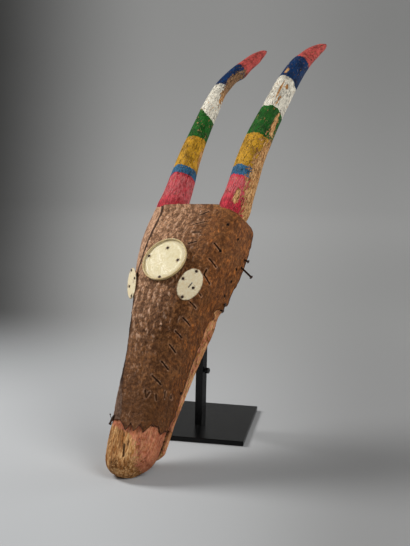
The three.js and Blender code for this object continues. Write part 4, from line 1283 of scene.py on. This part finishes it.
def horn_finish(groups, colours, name, deep, worn):
    """Painted bands along the horn, chipped and streaked to the grain, over bare tan wood with flecks."""
    material, b, s = new_material(name)
    at = b.field("grain", True)
    grain = b.group(groups["grain"], Coordinates=at, Size=1.25)
    mottle = b.group(groups["mottle"], Coordinates=at, Size=1.6)
    specks = b.group(groups["specks"], Coordinates=at, Scale=0.30, Amount=0.20)["Mask"]
    ragged = b.times(b.minus(b.noise(b.stretch(at, (0.5, 0.5, 0.16)), 1.0, 4.0), 0.5), 9.0)
    place = b.plus(b.field("band"), ragged)
    share = b.divided(b.minus(place, BAND_FROM), BAND_SPAN)
    ramp = b.node("ShaderNodeValToRGB")
    ramp.color_ramp.interpolation = "CONSTANT"
    paints = [deep, colours.paint_blue, colours.paint_yellow, colours.paint_green, colours.paint_white,
              colours.paint_navy, colours.paint_tip]
    stops = ramp.color_ramp.elements
    while len(stops) < len(paints):
        stops.new(0.5)
    for k, paint in enumerate(paints):
        stops[k].position = 0.0 if k == 0 else (BAND_ENDS_LEFT[k] - BAND_FROM) / BAND_SPAN
        stops[k].color = (*paint, 1.0)
    b.feed(ramp.inputs[0], share)
    shade = b.step(b.plus(mottle["Broad"], b.times(grain["Streaks"], 0.6)), 0, 1.6, 0.5, 1.3)
    paint = b.blend(1.0, ramp.outputs["Color"], b.blend(shade, (0, 0, 0), (1, 1, 1)), "MULTIPLY")
    rose = b.times(b.step(b.field("place"), 448.0, 474.0), b.step(place, 500.0, 494.0))
    rose = b.times(rose, b.step(grain["Streaks"], 0.1, 0.9, 0.15, 0.85))
    paint = b.blend(rose, paint, colours.paint_rose)
    dust = b.step(b.times(mottle["Small"], mottle["Fine"]), 0.45, 0.9)
    dust = b.times(dust, b.step(place, 700.0, 730.0, 0.16, 0.05))
    paint = b.blend(dust, paint, colours.paint_dust)
    paint = b.blend(b.times(grain["Pores"], 0.35), paint, colours.wood_stain_and_shade)
    wood = b.blend(grain["Streaks"], colours.wood_dark, colours.wood_light)
    wood = b.blend(b.times(b.step(mottle["Small"], 0.4, 0.9), 0.5), wood, colours.wood_brown)
    wood = b.blend(b.step(place, 690.0, 720.0, 0.0, worn), wood, colours.wood_grey)
    wood = b.blend(b.times(grain["Pores"], 0.85), wood, colours.wood_stain_and_shade)
    chips = b.noise(b.stretch(at, (0.34, 0.34, 0.11)), 1.0, 4.0, 0.62)
    chips = b.plus(chips, b.step(place, 480, 530, 0.0, 0.035))
    chipped = b.step(chips, 0.66, 0.69)
    bare = b.plus(b.field("bare"), b.times(b.minus(mottle["Small"], 0.5), 0.45))
    bare = b.plus(bare, b.times(b.minus(chips, 0.5), 1.6))
    bare = b.larger(b.step(bare, 0.0, 0.06), chipped)
    base = b.blend(bare, paint, wood)
    crack = b.larger(b.times(specks, 0.6), grain["Cracks"])
    base = b.blend(b.times(crack, 0.85), base, colours.wood_stain_and_shade)
    b.feed(s["Base Color"], base)
    b.feed(s["Roughness"], b.step(bare, 0, 1, 0.5, 0.8))
    s["Specular IOR Level"].default_value = 0.10
    height = b.minus(grain["Height"], b.times(bare, 0.5))
    height = b.minus(height, b.times(crack, 0.6))
    b.feed(s["Normal"], b.bump(height, 0.0016, 0.9))
    return material


def tin_finish(groups, colours, name, body, glint, rusting, gloss):
    """Old tin: mottled brown body, paler on the upper front where it is beaten and worn by rubbing, with
    painted light there too, orange rust towards the torn edge, painted highlights on small raised tops,
    painted shade in the hollows, dark specks, cuts and pin holes painted black for their shaded depth with a
    painted highlight on each cut's lip, painted shade along the seam and the lifted edges, and a tone darker
    towards the toothed edge."""
    material, b, s = new_material(name)
    at = b.field("grain", True)
    mottle = b.group(groups["mottle"], Coordinates=at, Size=1.0)
    close = b.group(groups["mottle"], Coordinates=at, Size=2.1)
    specks = b.group(groups["specks"], Coordinates=at, Scale=0.26, Amount=0.26)["Mask"]
    arc, place, edge, raised = b.field("arc"), b.field("place"), b.field("edge"), b.field("raised")
    beaten, cut_near = b.field("beaten"), b.field("cut")
    laid = b.node("ShaderNodeCombineXYZ")
    for k, value in enumerate((arc, place)):
        b.link(value, laid.inputs[k])
    strokes = b.noise(b.stretch(laid.outputs[0], (0.27, 0.115, 1.0), (0, 0, 0.12)), 1.0, 4.0, 0.62)
    strokes = b.step(strokes, 0.36, 0.66)
    stains = b.noise(b.stretch(laid.outputs[0], (0.075, 0.06, 1.0)), 1.0, 5.0, 0.68)
    grit = b.noise(b.stretch(laid.outputs[0], (0.40, 0.24, 1.0), (0, 0, -0.2)), 1.0, 3.0, 0.6)
    rust = b.plus(b.step(arc, 0.0, 110.0, 0.0, 0.8), b.times(mottle["Broad"], 0.6))
    rust = b.plus(rust, b.step(edge, 14.0, 2.0, 0.0, 0.4))
    rust = b.step(b.plus(rust, b.times(mottle["Small"], 0.4)), rusting, rusting + 0.7)
    base = b.blend(b.step(mottle["Small"], 0.0, 1.0, 0.25, 1.0), colours.tin_umber_and_shade, body)
    # Paler upper front: partly worn by rubbing, partly painted light where the lamp falls on it.
    rubbed_and_lit = b.times(b.step(arc, 55.0, -25.0), b.step(place, 150.0, 330.0, 0.1, 1.0))
    rubbed_and_lit = b.times(rubbed_and_lit, b.step(strokes, 0.0, 1.0, 0.55, 0.95))
    rubbed_and_lit = b.times(rubbed_and_lit, b.step(arc, -95.0, -50.0, 0.2, 1.0))
    base = b.blend(rubbed_and_lit, base, colours.tin_rubbed_and_lit)
    base = b.blend(rust, base, b.blend(strokes, colours.tin_chestnut, colours.tin_rust))
    orange = b.times(b.step(stains, 0.56, 0.66), b.step(arc, 20.0, 75.0, 0.0, 0.85))
    base = b.blend(b.times(orange, b.step(close["Small"], 0.1, 0.9, 0.3, 1.0)), base, colours.tin_orange)
    dark = b.times(b.step(stains, 0.47, 0.36), b.step(close["Small"], 0.9, 0.1, 0.25, 0.75))
    dark = b.larger(dark, b.times(b.step(place, 132.0, 112.0, 0.0, 0.5), mottle["Small"]))
    base = b.blend(dark, base, colours.tin_umber_and_shade)
    # Painted shade: the beaten tin's hollows darker than its raised tops.
    low = b.step(b.plus(raised, b.times(close["Small"], -0.35)), 0.0, -0.7, 0.0, 0.6)
    base = b.blend(low, base, colours.tin_umber_and_shade)
    gritty = b.blend(b.step(grit, 0.34, 0.66), (0.40, 0.36, 0.34), (1.6, 1.62, 1.6))
    base = b.blend(b.plus(0.34, b.times(beaten, 0.34)), base, gritty, "MULTIPLY")
    # Tone darker towards the toothed edge and paler towards the crown.
    paler_towards_crown = b.blend(b.step(place, 120.0, 400.0), (0.80, 0.79, 0.78), (1.16, 1.17, 1.19))
    base = b.blend(1.0, base, paler_towards_crown, "MULTIPLY")
    # Painted highlight: raised tops, strokes and grit over a threshold, most on the upper front, take the
    # pale glint colour; the same share makes them smoother and a little metallic.
    scuff_and_glint = b.plus(b.times(raised, 0.6), b.times(strokes, 0.5))
    scuff_and_glint = b.plus(scuff_and_glint, b.times(grit, 0.7))
    scuff_and_glint = b.plus(scuff_and_glint, b.times(b.step(arc, 50.0, -20.0), 0.26))
    scuff_and_glint = b.times(b.step(scuff_and_glint, 0.95, 1.65), b.step(arc, 95.0, 10.0, 0.3, gloss))
    scuff_and_glint = b.times(scuff_and_glint, b.step(place, 130.0, 260.0, 0.45, 1.0))
    base = b.blend(b.times(scuff_and_glint, 0.75), base, glint)
    base = b.blend(b.times(specks, 0.7), base, colours.tin_dark_and_shade)
    # Painted shadow: a dark line along the toothed and torn edges, for the shade under the lifted edge.
    wire = b.step(edge, 2.6, 0.8)
    base = b.blend(b.times(wire, 0.75), base, colours.tin_dark_and_shade)
    # Painted shade: a dark line along the seam for the gap where the front sheet's edge stands off the side
    # sheet; on the side sheet it is the shadow beside that edge.
    near_seam = b.minus(b.field("seam"), b.step(place, 345.0, 300.0, 0.0, 2.2))
    seam = b.times(b.step(near_seam, 2.6, 1.6), b.step(place, 118.0, 140.0, 0.15, 1.0))
    base = b.blend(b.times(seam, 0.9), base, colours.tin_dark_and_shade)
    broken = b.times(b.minus(close["Fine"], 0.5), 0.9)
    # Painted highlight: a pale line round each cut, for the light on its raised lip.
    lip = b.times(b.step(cut_near, 1.1, 1.9), b.step(cut_near, 3.6, 2.2))
    lip = b.times(lip, b.step(strokes, 0.2, 0.9, 0.05, 0.3))
    base = b.blend(lip, base, glint)
    # Painted shade: the cuts and pin holes are black for their dark depth, which the sheet doesn't open.
    cut = b.step(b.plus(cut_near, broken), 1.25, 0.65)
    hole = b.step(b.plus(b.field("hole"), broken), 2.9, 1.7)
    mark = b.larger(b.times(cut, b.step(place, 124.0, 136.0, 0.6, 1.0)), hole)
    base = b.blend(mark, base, colours.tin_cut_and_hole_shade)
    b.feed(s["Base Color"], base)
    rough = b.step(scuff_and_glint, 0, 1, 0.62, 0.34)
    b.feed(s["Roughness"], b.larger(rough, b.times(b.larger(mark, seam), 0.9)))
    b.feed(s["Metallic"], b.times(scuff_and_glint, 0.45))
    s["Specular IOR Level"].default_value = 0.12
    height = b.plus(b.times(grit, b.plus(0.55, b.times(beaten, 0.7))),
                   b.times(strokes, b.plus(0.25, beaten)))
    height = b.plus(height, b.times(mottle["Small"], 0.5))
    height = b.plus(height, b.times(close["Fine"], b.times(beaten, 0.3)))
    height = b.minus(height, b.times(mark, 1.2))
    b.feed(s["Normal"], b.bump(height, 0.0014, 1.0))
    return material


def cream_finish(groups, colours):
    """Cream lacquer of the jar lid: yellowed rim and wall, brown painted shade in the corner, scratches and
    specks.
    """
    material, b, s = new_material("cream_lacquer_lid")
    at = b.field("grain", True)
    mottle = b.group(groups["mottle"], Coordinates=at, Size=1.4)
    specks = b.group(groups["specks"], Coordinates=at, Scale=0.22, Amount=0.20)["Mask"]
    radius, height = b.field("radius"), b.field("height")
    base = b.blend(mottle["Small"], colours.lid_cream, colours.lid_pale)
    gold = b.step(radius, 33.0, 36.6)
    gold = b.times(gold, b.step(mottle["Broad"], 0.0, 1.0, 0.45, 1.0))
    base = b.blend(gold, base, colours.lid_gold)
    # Painted shade: a brown ring in the corner where the lid's wall meets its floor.
    corner_shade = b.times(b.step(radius, 29.0, 34.0), b.step(radius, 36.0, 35.0))
    base = b.blend(b.times(corner_shade, b.step(mottle["Small"], 0.2, 0.9, 0.1, 0.45)), base, colours.lid_brown_and_shade)
    worn = b.step(b.plus(b.step(height, 4.2, 6.2), mottle["Fine"]), 1.45, 1.8)
    base = b.blend(b.times(worn, 0.6), base, colours.lid_brown_and_shade)
    stain = b.step(b.plus(b.field("stain"), b.times(mottle["Small"], 3.0)), 6.5, 2.5, 0.0, 0.6)
    base = b.blend(b.larger(stain, b.times(specks, 0.8)), base, colours.lid_brown_and_shade)
    b.feed(s["Base Color"], base)
    b.feed(s["Roughness"], b.step(mottle["Small"], 0, 1, 0.58, 0.46))
    b.feed(s["Coat Weight"], b.step(worn, 0, 1, 0.08, 0.0))
    b.feed(s["Normal"], b.bump(b.minus(mottle["Fine"], specks), 0.0003, 0.6))
    return material


def disc_finish(groups, colours):
    """Ivory discs: paler than the lid, with rust specks, a browned edge and a dark slot mark."""
    material, b, s = new_material("ivory_disc_tin")
    at = b.field("grain", True)
    mottle = b.group(groups["mottle"], Coordinates=at, Size=1.8)
    specks = b.group(groups["specks"], Coordinates=at, Scale=0.3, Amount=0.24)["Mask"]
    base = b.blend(mottle["Small"], colours.disc_ivory, colours.disc_pale)
    worn_rim = b.step(b.plus(b.field("rim"), mottle["Small"]), 1.9, 0.5, 0.0, 0.7)
    base = b.blend(worn_rim, base, colours.lid_brown_and_shade)
    stain = b.step(b.plus(b.field("stain"), b.times(mottle["Small"], 3.0)), 6.5, 2.5, 0.0, 0.6)
    base = b.blend(b.larger(stain, b.times(specks, 0.7)), base, colours.lid_brown_and_shade)
    slot_mark = b.step(b.plus(b.field("slot"), mottle["Fine"]), 1.7, 1.0)
    base = b.blend(slot_mark, base, colours.tin_dark_and_shade)
    b.feed(s["Base Color"], base)
    b.feed(s["Roughness"], b.step(mottle["Small"], 0, 1, 0.52, 0.38))
    b.feed(s["Coat Weight"], b.step(mottle["Broad"], 0, 1, 0.2, 0.05))
    b.feed(s["Normal"], b.bump(b.minus(mottle["Fine"], specks), 0.0003, 0.6))
    return material


def iron_finish(groups, colours):
    """Rusted nail iron."""
    material, b, s = new_material("rusted_nail_iron")
    at = b.field("grain", True)
    mottle = b.group(groups["mottle"], Coordinates=at, Size=5.0)
    base = b.blend(mottle["Small"], colours.nail_dark, colours.nail_rust)
    b.feed(s["Base Color"], base)
    b.feed(s["Roughness"], b.step(mottle["Small"], 0, 1, 0.5, 0.8))
    b.feed(s["Metallic"], b.step(mottle["Small"], 0, 1, 0.5, 0.1))
    b.feed(s["Normal"], b.bump(mottle["Fine"], 0.0002, 0.7))
    return material


def steel_finish(groups, colours):
    """Matt black stove paint on steel, with a fine orange peel and faint dust. Object coordinates."""
    material, b, s = new_material("black_stand_steel")
    coordinates = b.node("ShaderNodeTexCoord").outputs["Object"]
    at = b.stretch(coordinates, (1000, 1000, 1000))
    mottle = b.group(groups["mottle"], Coordinates=at, Size=0.6)
    close = b.group(groups["mottle"], Coordinates=at, Size=2.4)
    dust = b.times(b.step(mottle["Broad"], 0.2, 1.0), b.step(close["Fine"], 0.3, 1.0, 0.2, 1.0))
    base = b.blend(b.times(dust, 0.15), colours.stand_black, colours.stand_dust)
    b.feed(s["Base Color"], base)
    b.feed(s["Roughness"], b.step(mottle["Small"], 0, 1, 0.12, 0.20))
    s["Specular IOR Level"].default_value = 0.16
    b.feed(s["Normal"], b.bump(close["Fine"], 0.00012, 0.4))
    return material


def floor_finish(stage):
    """Pale floor that turns grey up the backdrop, with painted light and shade: lighter to one side of the
    floor and in the middle of the backdrop, deeper towards both sides and the top. Where the backdrop is too
    far for the lamps it glows a little, most behind the mask, as painted light."""
    material, b, s = new_material("pale_studio_floor")
    turn = math.radians(LOOK_TURN)
    at = b.node("ShaderNodeTexCoord").outputs["Object"]
    split = b.node("ShaderNodeSeparateXYZ")
    b.link(at, split.inputs[0])
    x, y, z = split.outputs
    back = b.minus(b.times(y, math.cos(turn)), b.times(x, math.sin(turn)))
    side = b.plus(b.times(x, math.cos(turn)), b.times(y, math.sin(turn)))
    reach = b.larger(b.plus(back, FAN_FRONT), FAN_LEAST)
    across = b.divided(side, reach)
    above = b.divided(b.minus(z, FAN_HEIGHT), reach)
    # Painted light and shade: the floor lighter on one side, the backdrop darker on the other side and
    # lighter in the middle.
    level = b.blend(b.step(across, -0.14, 0.2), tuple(stage.floor_colour), tuple(stage.floor_shade))
    wall = b.blend(b.step(across, -0.22, -0.04), tuple(stage.wall_shade), tuple(stage.wall_colour))
    base = b.blend(b.step(back, 0.05, 0.8), level, wall)
    # Painted shade: deeper towards the right and towards the top.
    darker = b.plus(b.step(across, 0.02, 0.17, 0.0, 0.16), b.step(above, -0.24, 0.03, 0.0, 0.27))
    base = b.blend(darker, base, (0.01, 0.01, 0.01))
    tone = b.noise(at, 2.0, 2.0)
    base = b.blend(b.times(tone, 0.03), base, (0.5, 0.5, 0.5))
    far = b.node("ShaderNodeVectorMath", operation="LENGTH")
    b.link(at, far.inputs[0])
    behind = b.step(back, 0.3, 2.4, 0.0, stage.backdrop_glow)
    glow = b.larger(behind, b.step(far.outputs["Value"], 1.2, 3.0, 0.0, 0.3))
    b.feed(s["Base Color"], base)
    b.feed(s["Emission Color"], b.blend(glow, (0, 0, 0), base))
    s["Emission Strength"].default_value = 1.0
    b.feed(s["Roughness"], b.step(tone, 0, 1, 0.75, 0.85))
    s["Specular IOR Level"].default_value = 0.1
    return material


def groups_once():
    """The shared effects, each built the first time that it is asked for."""
    made = {}
    for key, make in (("grain", grain_group), ("specks", speckle_group), ("mottle", mottle_group)):
        made[key] = bpy.data.node_groups.get(key) or make()
    return made


# Stage


def sweep_floor(stage):
    """Round floor that bends up into a wall on every side: level out to the bend, a quarter circle, then
    straight up, carried round the middle."""
    bend, start = stage.bend_radius / MM, stage.floor_reach / MM
    turn = np.linspace(0, math.pi / 2, 24)
    level = start * np.linspace(0.02, 1, 30)
    run = np.concatenate([level, start + bend * np.sin(turn[1:]), [start + bend]])
    rise = np.concatenate([0 * level, bend * (1 - np.cos(turn[1:])), [bend + WALL_HEIGHT]])
    way = np.linspace(0, 2 * math.pi, 96, endpoint=False)
    x, y = run[:, None] * np.cos(way), run[:, None] * np.sin(way)
    points = np.stack([x, y, rise[:, None] + 0 * x - FLOOR_DROP], -1).reshape(-1, 3)
    points = np.concatenate([points, [[0, 0, -FLOOR_DROP]]])
    quads = grid_quads(len(run), len(way), wrap=True)
    return points, quads, fan(np.arange(len(way)), len(points) - 1)


def aim(obj, target):
    """Turn a lamp so that it looks at a point."""
    way = np.array(target) - np.array(obj.location)
    flat = math.hypot(way[0], way[1])
    obj.rotation_euler = (math.atan2(flat, -way[2]), 0, math.atan2(-way[0], way[1]))


def hang_lamp(name, power):
    """Soft white lamp at its place, turned to what it lights."""
    lamp = bpy.data.lights.new(f"{name}_lamp", "AREA")
    lamp.shape = "RECTANGLE"
    lamp.size, lamp.size_y = LAMPS[name]["size"]
    lamp.energy = power
    obj = bpy.data.objects.new(f"{name}_lamp", lamp)
    obj.location = LAMPS[name]["place"]
    aim(obj, LAMPS[name]["aim"])
    bpy.context.scene.collection.objects.link(obj)


def set_camera():
    """Camera at the photograph's place: turned about the vertical, dipped and rolled a little."""
    turn, down, roll = (math.radians(v) for v in (LOOK_TURN, LOOK_DOWN, LOOK_ROLL))
    level = math.cos(down)
    ahead = np.array([-math.sin(turn) * level, math.cos(turn) * level, -math.sin(down)])
    flat = np.cross(ahead, [0, 0, 1.0])
    flat /= np.linalg.norm(flat)
    upright = np.cross(flat, ahead)
    right = flat * math.cos(roll) + upright * math.sin(roll)
    up = upright * math.cos(roll) - flat * math.sin(roll)
    camera = bpy.data.objects.new("photo_camera", bpy.data.cameras.new("photo_camera"))
    camera.data.sensor_width = SENSOR
    camera.data.lens = LENS
    camera.data.clip_end = FARTHEST
    rows = np.eye(4)
    rows[:3, 0], rows[:3, 1], rows[:3, 2], rows[:3, 3] = right, up, -ahead, np.array(EYE_AT) * MM
    camera.matrix_world = Matrix(rows.tolist())
    bpy.context.scene.collection.objects.link(camera)
    bpy.context.scene.camera = camera


# Settings


def colour_property(name, description, default):
    """Colour that a user may change."""
    return bpy.props.FloatVectorProperty(
        name=name, description=description, default=default, subtype="COLOR", size=3, min=0, max=1)


class MaskColours(bpy.types.PropertyGroup):
    """Colours of the mask's wood, paint, tin and nails, and of its stand"""

    wood_light: colour_property("Wood light", "Pale streaks of the bare wood", (0.84, 0.51, 0.23))
    wood_dark: colour_property("Wood dark", "Darker streaks of the bare wood", (0.44, 0.18, 0.048))
    wood_brown: colour_property("Wood brown", "Browned patches of the wood", (0.26, 0.085, 0.02))
    wood_knot: colour_property("Wood knot", "Knotty dark wood of the muzzle's tip", (0.13, 0.045, 0.012))
    wood_grey: colour_property("Wood grey", "Weathered broken wood of the right horn", (0.20, 0.12, 0.07))
    # Wood stain colour: pores, cracks and knot holes, and also the painted shade round the mouth, under the
    # muzzle and in the hollow.
    wood_stain_and_shade: colour_property("Wood stain", "Pores, cracks and dark stains", (0.03, 0.013, 0.006))
    wood_pink: colour_property("Muzzle pink", "Dusty pink paint on the muzzle", (0.44, 0.105, 0.05))
    wood_rose: colour_property("Muzzle rose", "Lighter strokes of the muzzle paint", (0.66, 0.24, 0.145))
    paint_red: colour_property("Horn red", "Lowest band of the left horn", (0.68, 0.035, 0.06))
    paint_crimson: colour_property("Horn crimson", "Lowest band of the right horn", (0.60, 0.03, 0.05))
    paint_blue: colour_property("Horn blue", "Narrow blue band", (0.028, 0.14, 0.27))
    paint_yellow: colour_property("Horn yellow", "Yellow band", (0.60, 0.31, 0.02))
    paint_green: colour_property("Horn green", "Green band", (0.012, 0.115, 0.012))
    paint_white: colour_property("Horn white", "White band", (0.86, 0.80, 0.66))
    paint_navy: colour_property("Horn navy", "Upper blue band", (0.005, 0.035, 0.12))
    paint_tip: colour_property("Horn tip", "Pink of the tip", (0.62, 0.10, 0.085))
    paint_rose: colour_property("Horn rose", "Faded upper part of the red bands", (0.60, 0.17, 0.17))
    paint_dust: colour_property("Paint dust", "Dust in the paint's strokes", (0.55, 0.42, 0.30))
    tin_brown: colour_property("Tin brown", "Body of the front sheet", (0.29, 0.118, 0.038))
    tin_mauve: colour_property("Tin mauve", "Body of the side sheet", (0.35, 0.22, 0.155))
    # Tin umber colour: real darker clouds and stains, and the painted shade in the beaten hollows.
    tin_umber_and_shade: colour_property("Tin umber", "Darker clouds in the tin", (0.075, 0.026, 0.008))
    tin_rust: colour_property("Tin rust", "Orange rust", (0.33, 0.115, 0.028))
    tin_chestnut: colour_property("Tin chestnut", "Deeper rust", (0.115, 0.034, 0.009))
    # Colour of the paler upper front: partly worn by rubbing, partly painted light.
    tin_rubbed_and_lit: colour_property("Tin rubbed", "Rubbed front of the beaten sheet", (0.62, 0.345, 0.195))
    tin_orange: colour_property("Tin orange", "Brightest rust blotches", (0.60, 0.19, 0.035))
    # Tin glint colour: painted highlight on the front's raised tops and on each cut's lip.
    tin_glint: colour_property("Tin glint", "Scuffed high spots of the front", (0.76, 0.49, 0.33))
    # Tin grey colour: painted highlight on the side sheet's raised tops.
    tin_grey: colour_property("Tin grey", "Scuffed high spots of the side", (0.62, 0.50, 0.42))
    # Tin dark colour: real specks and the disc's slot mark, and painted shade along the seam and under the
    # lifted edges.
    tin_dark_and_shade: colour_property("Tin dark", "Specks and edges of the tin", (0.03, 0.015, 0.01))
    # Tin black colour: painted shade for the depth of the cuts and pin holes.
    tin_cut_and_hole_shade: colour_property("Tin black", "Depth of the cuts and holes", (0.006, 0.004, 0.003))
    lid_cream: colour_property("Lid cream", "Lacquer of the lid", (0.74, 0.62, 0.33))
    lid_pale: colour_property("Lid pale", "Paler clouds of the lid", (0.80, 0.70, 0.44))
    lid_gold: colour_property("Lid gold", "Yellowed rim of the lid", (0.68, 0.50, 0.22))
    # Lid brown colour: real worn rim, rust stains and specks, and the painted shade in the lid's inner
    # corner.
    lid_brown_and_shade: colour_property("Lid brown", "Film, specks and worn rim", (0.26, 0.13, 0.045))
    disc_ivory: colour_property("Disc ivory", "Lacquer of the discs", (0.90, 0.72, 0.42))
    disc_pale: colour_property("Disc pale", "Paler clouds of the discs", (0.95, 0.83, 0.57))
    nail_dark: colour_property("Nail iron", "Dark iron of the nails", (0.012, 0.008, 0.006))
    nail_rust: colour_property("Nail rust", "Rust on the nails", (0.07, 0.028, 0.012))
    stand_black: colour_property("Stand black", "Paint of the stand", (0.003, 0.003, 0.003))
    stand_dust: colour_property("Stand dust", "Dust on the stand", (0.02, 0.02, 0.019))


class MaskSizes(bpy.types.PropertyGroup):
    """Sizes of the tin sheets"""

    tin_thickness: bpy.props.FloatProperty(
        name="Tin thickness", description="Thickness of both sheets",
        default=0.0009, min=0.0003, max=0.001, precision=5, unit="LENGTH")
    dent_depth: bpy.props.FloatProperty(
        name="Dent depth", description="Height of the beaten tin's unevenness",
        default=0.00095, min=0, max=0.002, precision=5, unit="LENGTH")


class StageSettings(bpy.types.PropertyGroup):
    """Floor, backdrop and lamps"""

    floor_colour: colour_property("Floor", "Pale floor", (0.50, 0.51, 0.515))
    floor_shade: colour_property("Floor shade", "Floor on its darker side", (0.345, 0.345, 0.342))
    wall_colour: colour_property("Backdrop", "Grey of the backdrop", (0.39, 0.39, 0.383))
    wall_shade: colour_property("Backdrop shade", "Backdrop on its darker side", (0.03, 0.03, 0.029))
    floor_reach: bpy.props.FloatProperty(
        name="Floor reach", description="Level floor round the middle", default=2.6, min=0.2, unit="LENGTH")
    backdrop_glow: bpy.props.FloatProperty(
        name="Backdrop glow", description="Share of its own colour that the far backdrop gives off",
        default=0.6, min=0, max=1, subtype="FACTOR")
    bend_radius: bpy.props.FloatProperty(
        name="Bend radius", description="Radius of the backdrop's bend", default=1.3, min=0.1, unit="LENGTH")
    key_power: bpy.props.FloatProperty(
        name="Key power", description="Large soft lamp at the upper left",
        default=46.0, min=0, unit="POWER")
    side_power: bpy.props.FloatProperty(
        name="Side power", description="Low lamp at the right and a little behind",
        default=5.0, min=0, unit="POWER")
    fill_power: bpy.props.FloatProperty(
        name="Fill power", description="Weak lamp at the right", default=22.0, min=0, unit="POWER")
    world_light: bpy.props.FloatProperty(
        name="Room light", description="Even light from all round", default=0.08, min=0)


def for_finishes(context):
    """What every finish needs: the shared effects and the colours."""
    return groups_once(), context.scene.mask_colours


class MASK_OT_carved_head(bpy.types.Operator):
    """Carve the head with its hollow back, and the lower jaw"""

    bl_idname = "mask.carved_head"
    bl_label = "Carved head"

    def execute(self, context):
        wood = wood_finish(*for_finishes(context))
        carve_head(wood)
        carve_jaw(wood)
        return {"FINISHED"}


class MASK_OT_horns(bpy.types.Operator):
    """Carve the two painted horns"""

    bl_idname = "mask.horns"
    bl_label = "Horns"

    def execute(self, context):
        groups, colours = for_finishes(context)
        left = horn_finish(groups, colours, "left_horn_paint", colours.paint_red, 0.2)
        right = horn_finish(groups, colours, "right_horn_paint", colours.paint_crimson, 0.75)
        carve_horn("horn_left", 1, LEFT_HORN_DIAMETERS, BAND_ENDS_LEFT, left)
        carve_horn("horn_right", -1, RIGHT_HORN_DIAMETERS, BAND_ENDS_RIGHT, right)
        return {"FINISHED"}


class MASK_OT_tin_sheets(bpy.types.Operator):
    """Beat the front and side sheets of old tin"""

    bl_idname = "mask.tin_sheets"
    bl_label = "Tin sheets"

    def execute(self, context):
        groups, colours = for_finishes(context)
        sizes = context.scene.mask_sizes
        thick, dent = sizes.tin_thickness / MM, sizes.dent_depth / MM
        brown, glint = colours.tin_brown, colours.tin_glint
        mauve, grey = colours.tin_mauve, colours.tin_grey
        # The last number on each sheet sets its share of painted highlight, with the smoother, slightly
        # metallic tops.
        front = tin_finish(groups, colours, "rusty_front_tin", brown, glint, 0.75, 1.0)
        side = tin_finish(groups, colours, "mauve_side_tin", mauve, grey, 0.95, 0.4)
        beat_front_sheet(front, thick, dent)
        beat_side_sheet(side, thick, dent)
        return {"FINISHED"}


class MASK_OT_lid_and_discs(bpy.types.Operator):
    """Press the jar lid and cut the two oval discs"""

    bl_idname = "mask.lid_and_discs"
    bl_label = "Lid and discs"

    def execute(self, context):
        press_lid(cream_finish(*for_finishes(context)))
        ivory = disc_finish(*for_finishes(context))
        cut_disc("left", ivory)
        cut_disc("right", ivory)
        return {"FINISHED"}


class MASK_OT_nails(bpy.types.Operator):
    """Drive the tacks, the edge nails and the bent nail"""

    bl_idname = "mask.nails"
    bl_label = "Nails"

    def execute(self, context):
        iron = iron_finish(*for_finishes(context))
        rise = LID["wall"] + 1.7
        drive_tacks("lid_tacks", "lid_tack", LID_TACKS, lid_frame(), rise, TACK_LENGTH["lid"], iron)
        for side, sign in (("left", 1), ("right", -1)):
            name, solid = f"eye_tacks_{side}", f"eye_tack_{side}"
            spots = [(sign * x, y) for x, y in EYE_TACKS]
            drive_tacks(name, solid, spots, eye_frame(side), EYE["thick"], TACK_LENGTH["disc"], iron)
        drive_edge_nails(iron)
        bend_nail(iron)
        return {"FINISHED"}


class MASK_OT_stand(bpy.types.Operator):
    """Paint the stand black and turn its thumb screw"""

    bl_idname = "mask.stand"
    bl_label = "Stand"

    def execute(self, context):
        black = steel_finish(*for_finishes(context))
        for node in ("base_plate", "post_tube", "support_rod", "cradle"):
            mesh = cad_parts[node].data
            mesh.materials.clear()
            mesh.materials.append(black)
        turn_knob(black)
        return {"FINISHED"}


class MASK_OT_stage(bpy.types.Operator):
    """Lay the pale floor, hang the soft lamps and set the camera"""

    bl_idname = "mask.stage"
    bl_label = "Stage"

    def execute(self, context):
        stage = context.scene.mask_stage
        points, quads, tris = sweep_floor(stage)
        make_piece("studio_floor", points, quads, tris, floor_finish(stage))
        hang_lamp("key", stage.key_power)
        hang_lamp("fill", stage.fill_power)
        hang_lamp("side", stage.side_power)
        world = bpy.data.worlds.new("studio_room")
        world.use_nodes = True
        back = world.node_tree.nodes["Background"]
        back.inputs[0].default_value = (0.95, 0.97, 1.0, 1)
        back.inputs[1].default_value = stage.world_light
        context.scene.world = world
        context.scene.view_settings.view_transform = "Standard"
        set_camera()
        return {"FINISHED"}


class MASK_PT_sidebar(bpy.types.Panel):
    """Lists the mask's pieces and settings"""

    bl_idname = "MASK_PT_sidebar"
    bl_label = "Antelope mask"
    bl_space_type = "VIEW_3D"
    bl_region_type = "UI"
    bl_category = "Mask"

    def draw(self, context):
        for step in PIECE_STEPS:
            self.layout.operator(step.bl_idname)
        for group in (context.scene.mask_sizes, context.scene.mask_colours, context.scene.mask_stage):
            column = self.layout.column(align=True)
            for key in group.__annotations__:
                column.prop(group, key)


SETTINGS = {"mask_colours": MaskColours, "mask_sizes": MaskSizes, "mask_stage": StageSettings}
PIECE_STEPS = (
    MASK_OT_carved_head, MASK_OT_horns, MASK_OT_tin_sheets, MASK_OT_lid_and_discs, MASK_OT_nails,
    MASK_OT_stand, MASK_OT_stage,
)
CLASSES = (*SETTINGS.values(), *PIECE_STEPS, MASK_PT_sidebar)


def register():
    """Make the classes and the scene's settings known."""
    for made in CLASSES:
        bpy.utils.register_class(made)
    for name, group in SETTINGS.items():
        setattr(bpy.types.Scene, name, bpy.props.PointerProperty(type=group))


def unregister():
    """Take the settings and the classes away again."""
    for name in SETTINGS:
        delattr(bpy.types.Scene, name)
    for made in reversed(CLASSES):
        bpy.utils.unregister_class(made)


def main():
    """Register, then make every piece and the stage in order."""
    register()
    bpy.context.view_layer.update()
    for step in PIECE_STEPS:
        family, name = step.bl_idname.split(".")
        getattr(getattr(bpy.ops, family), name)()


if __name__ == "__main__":
    main()
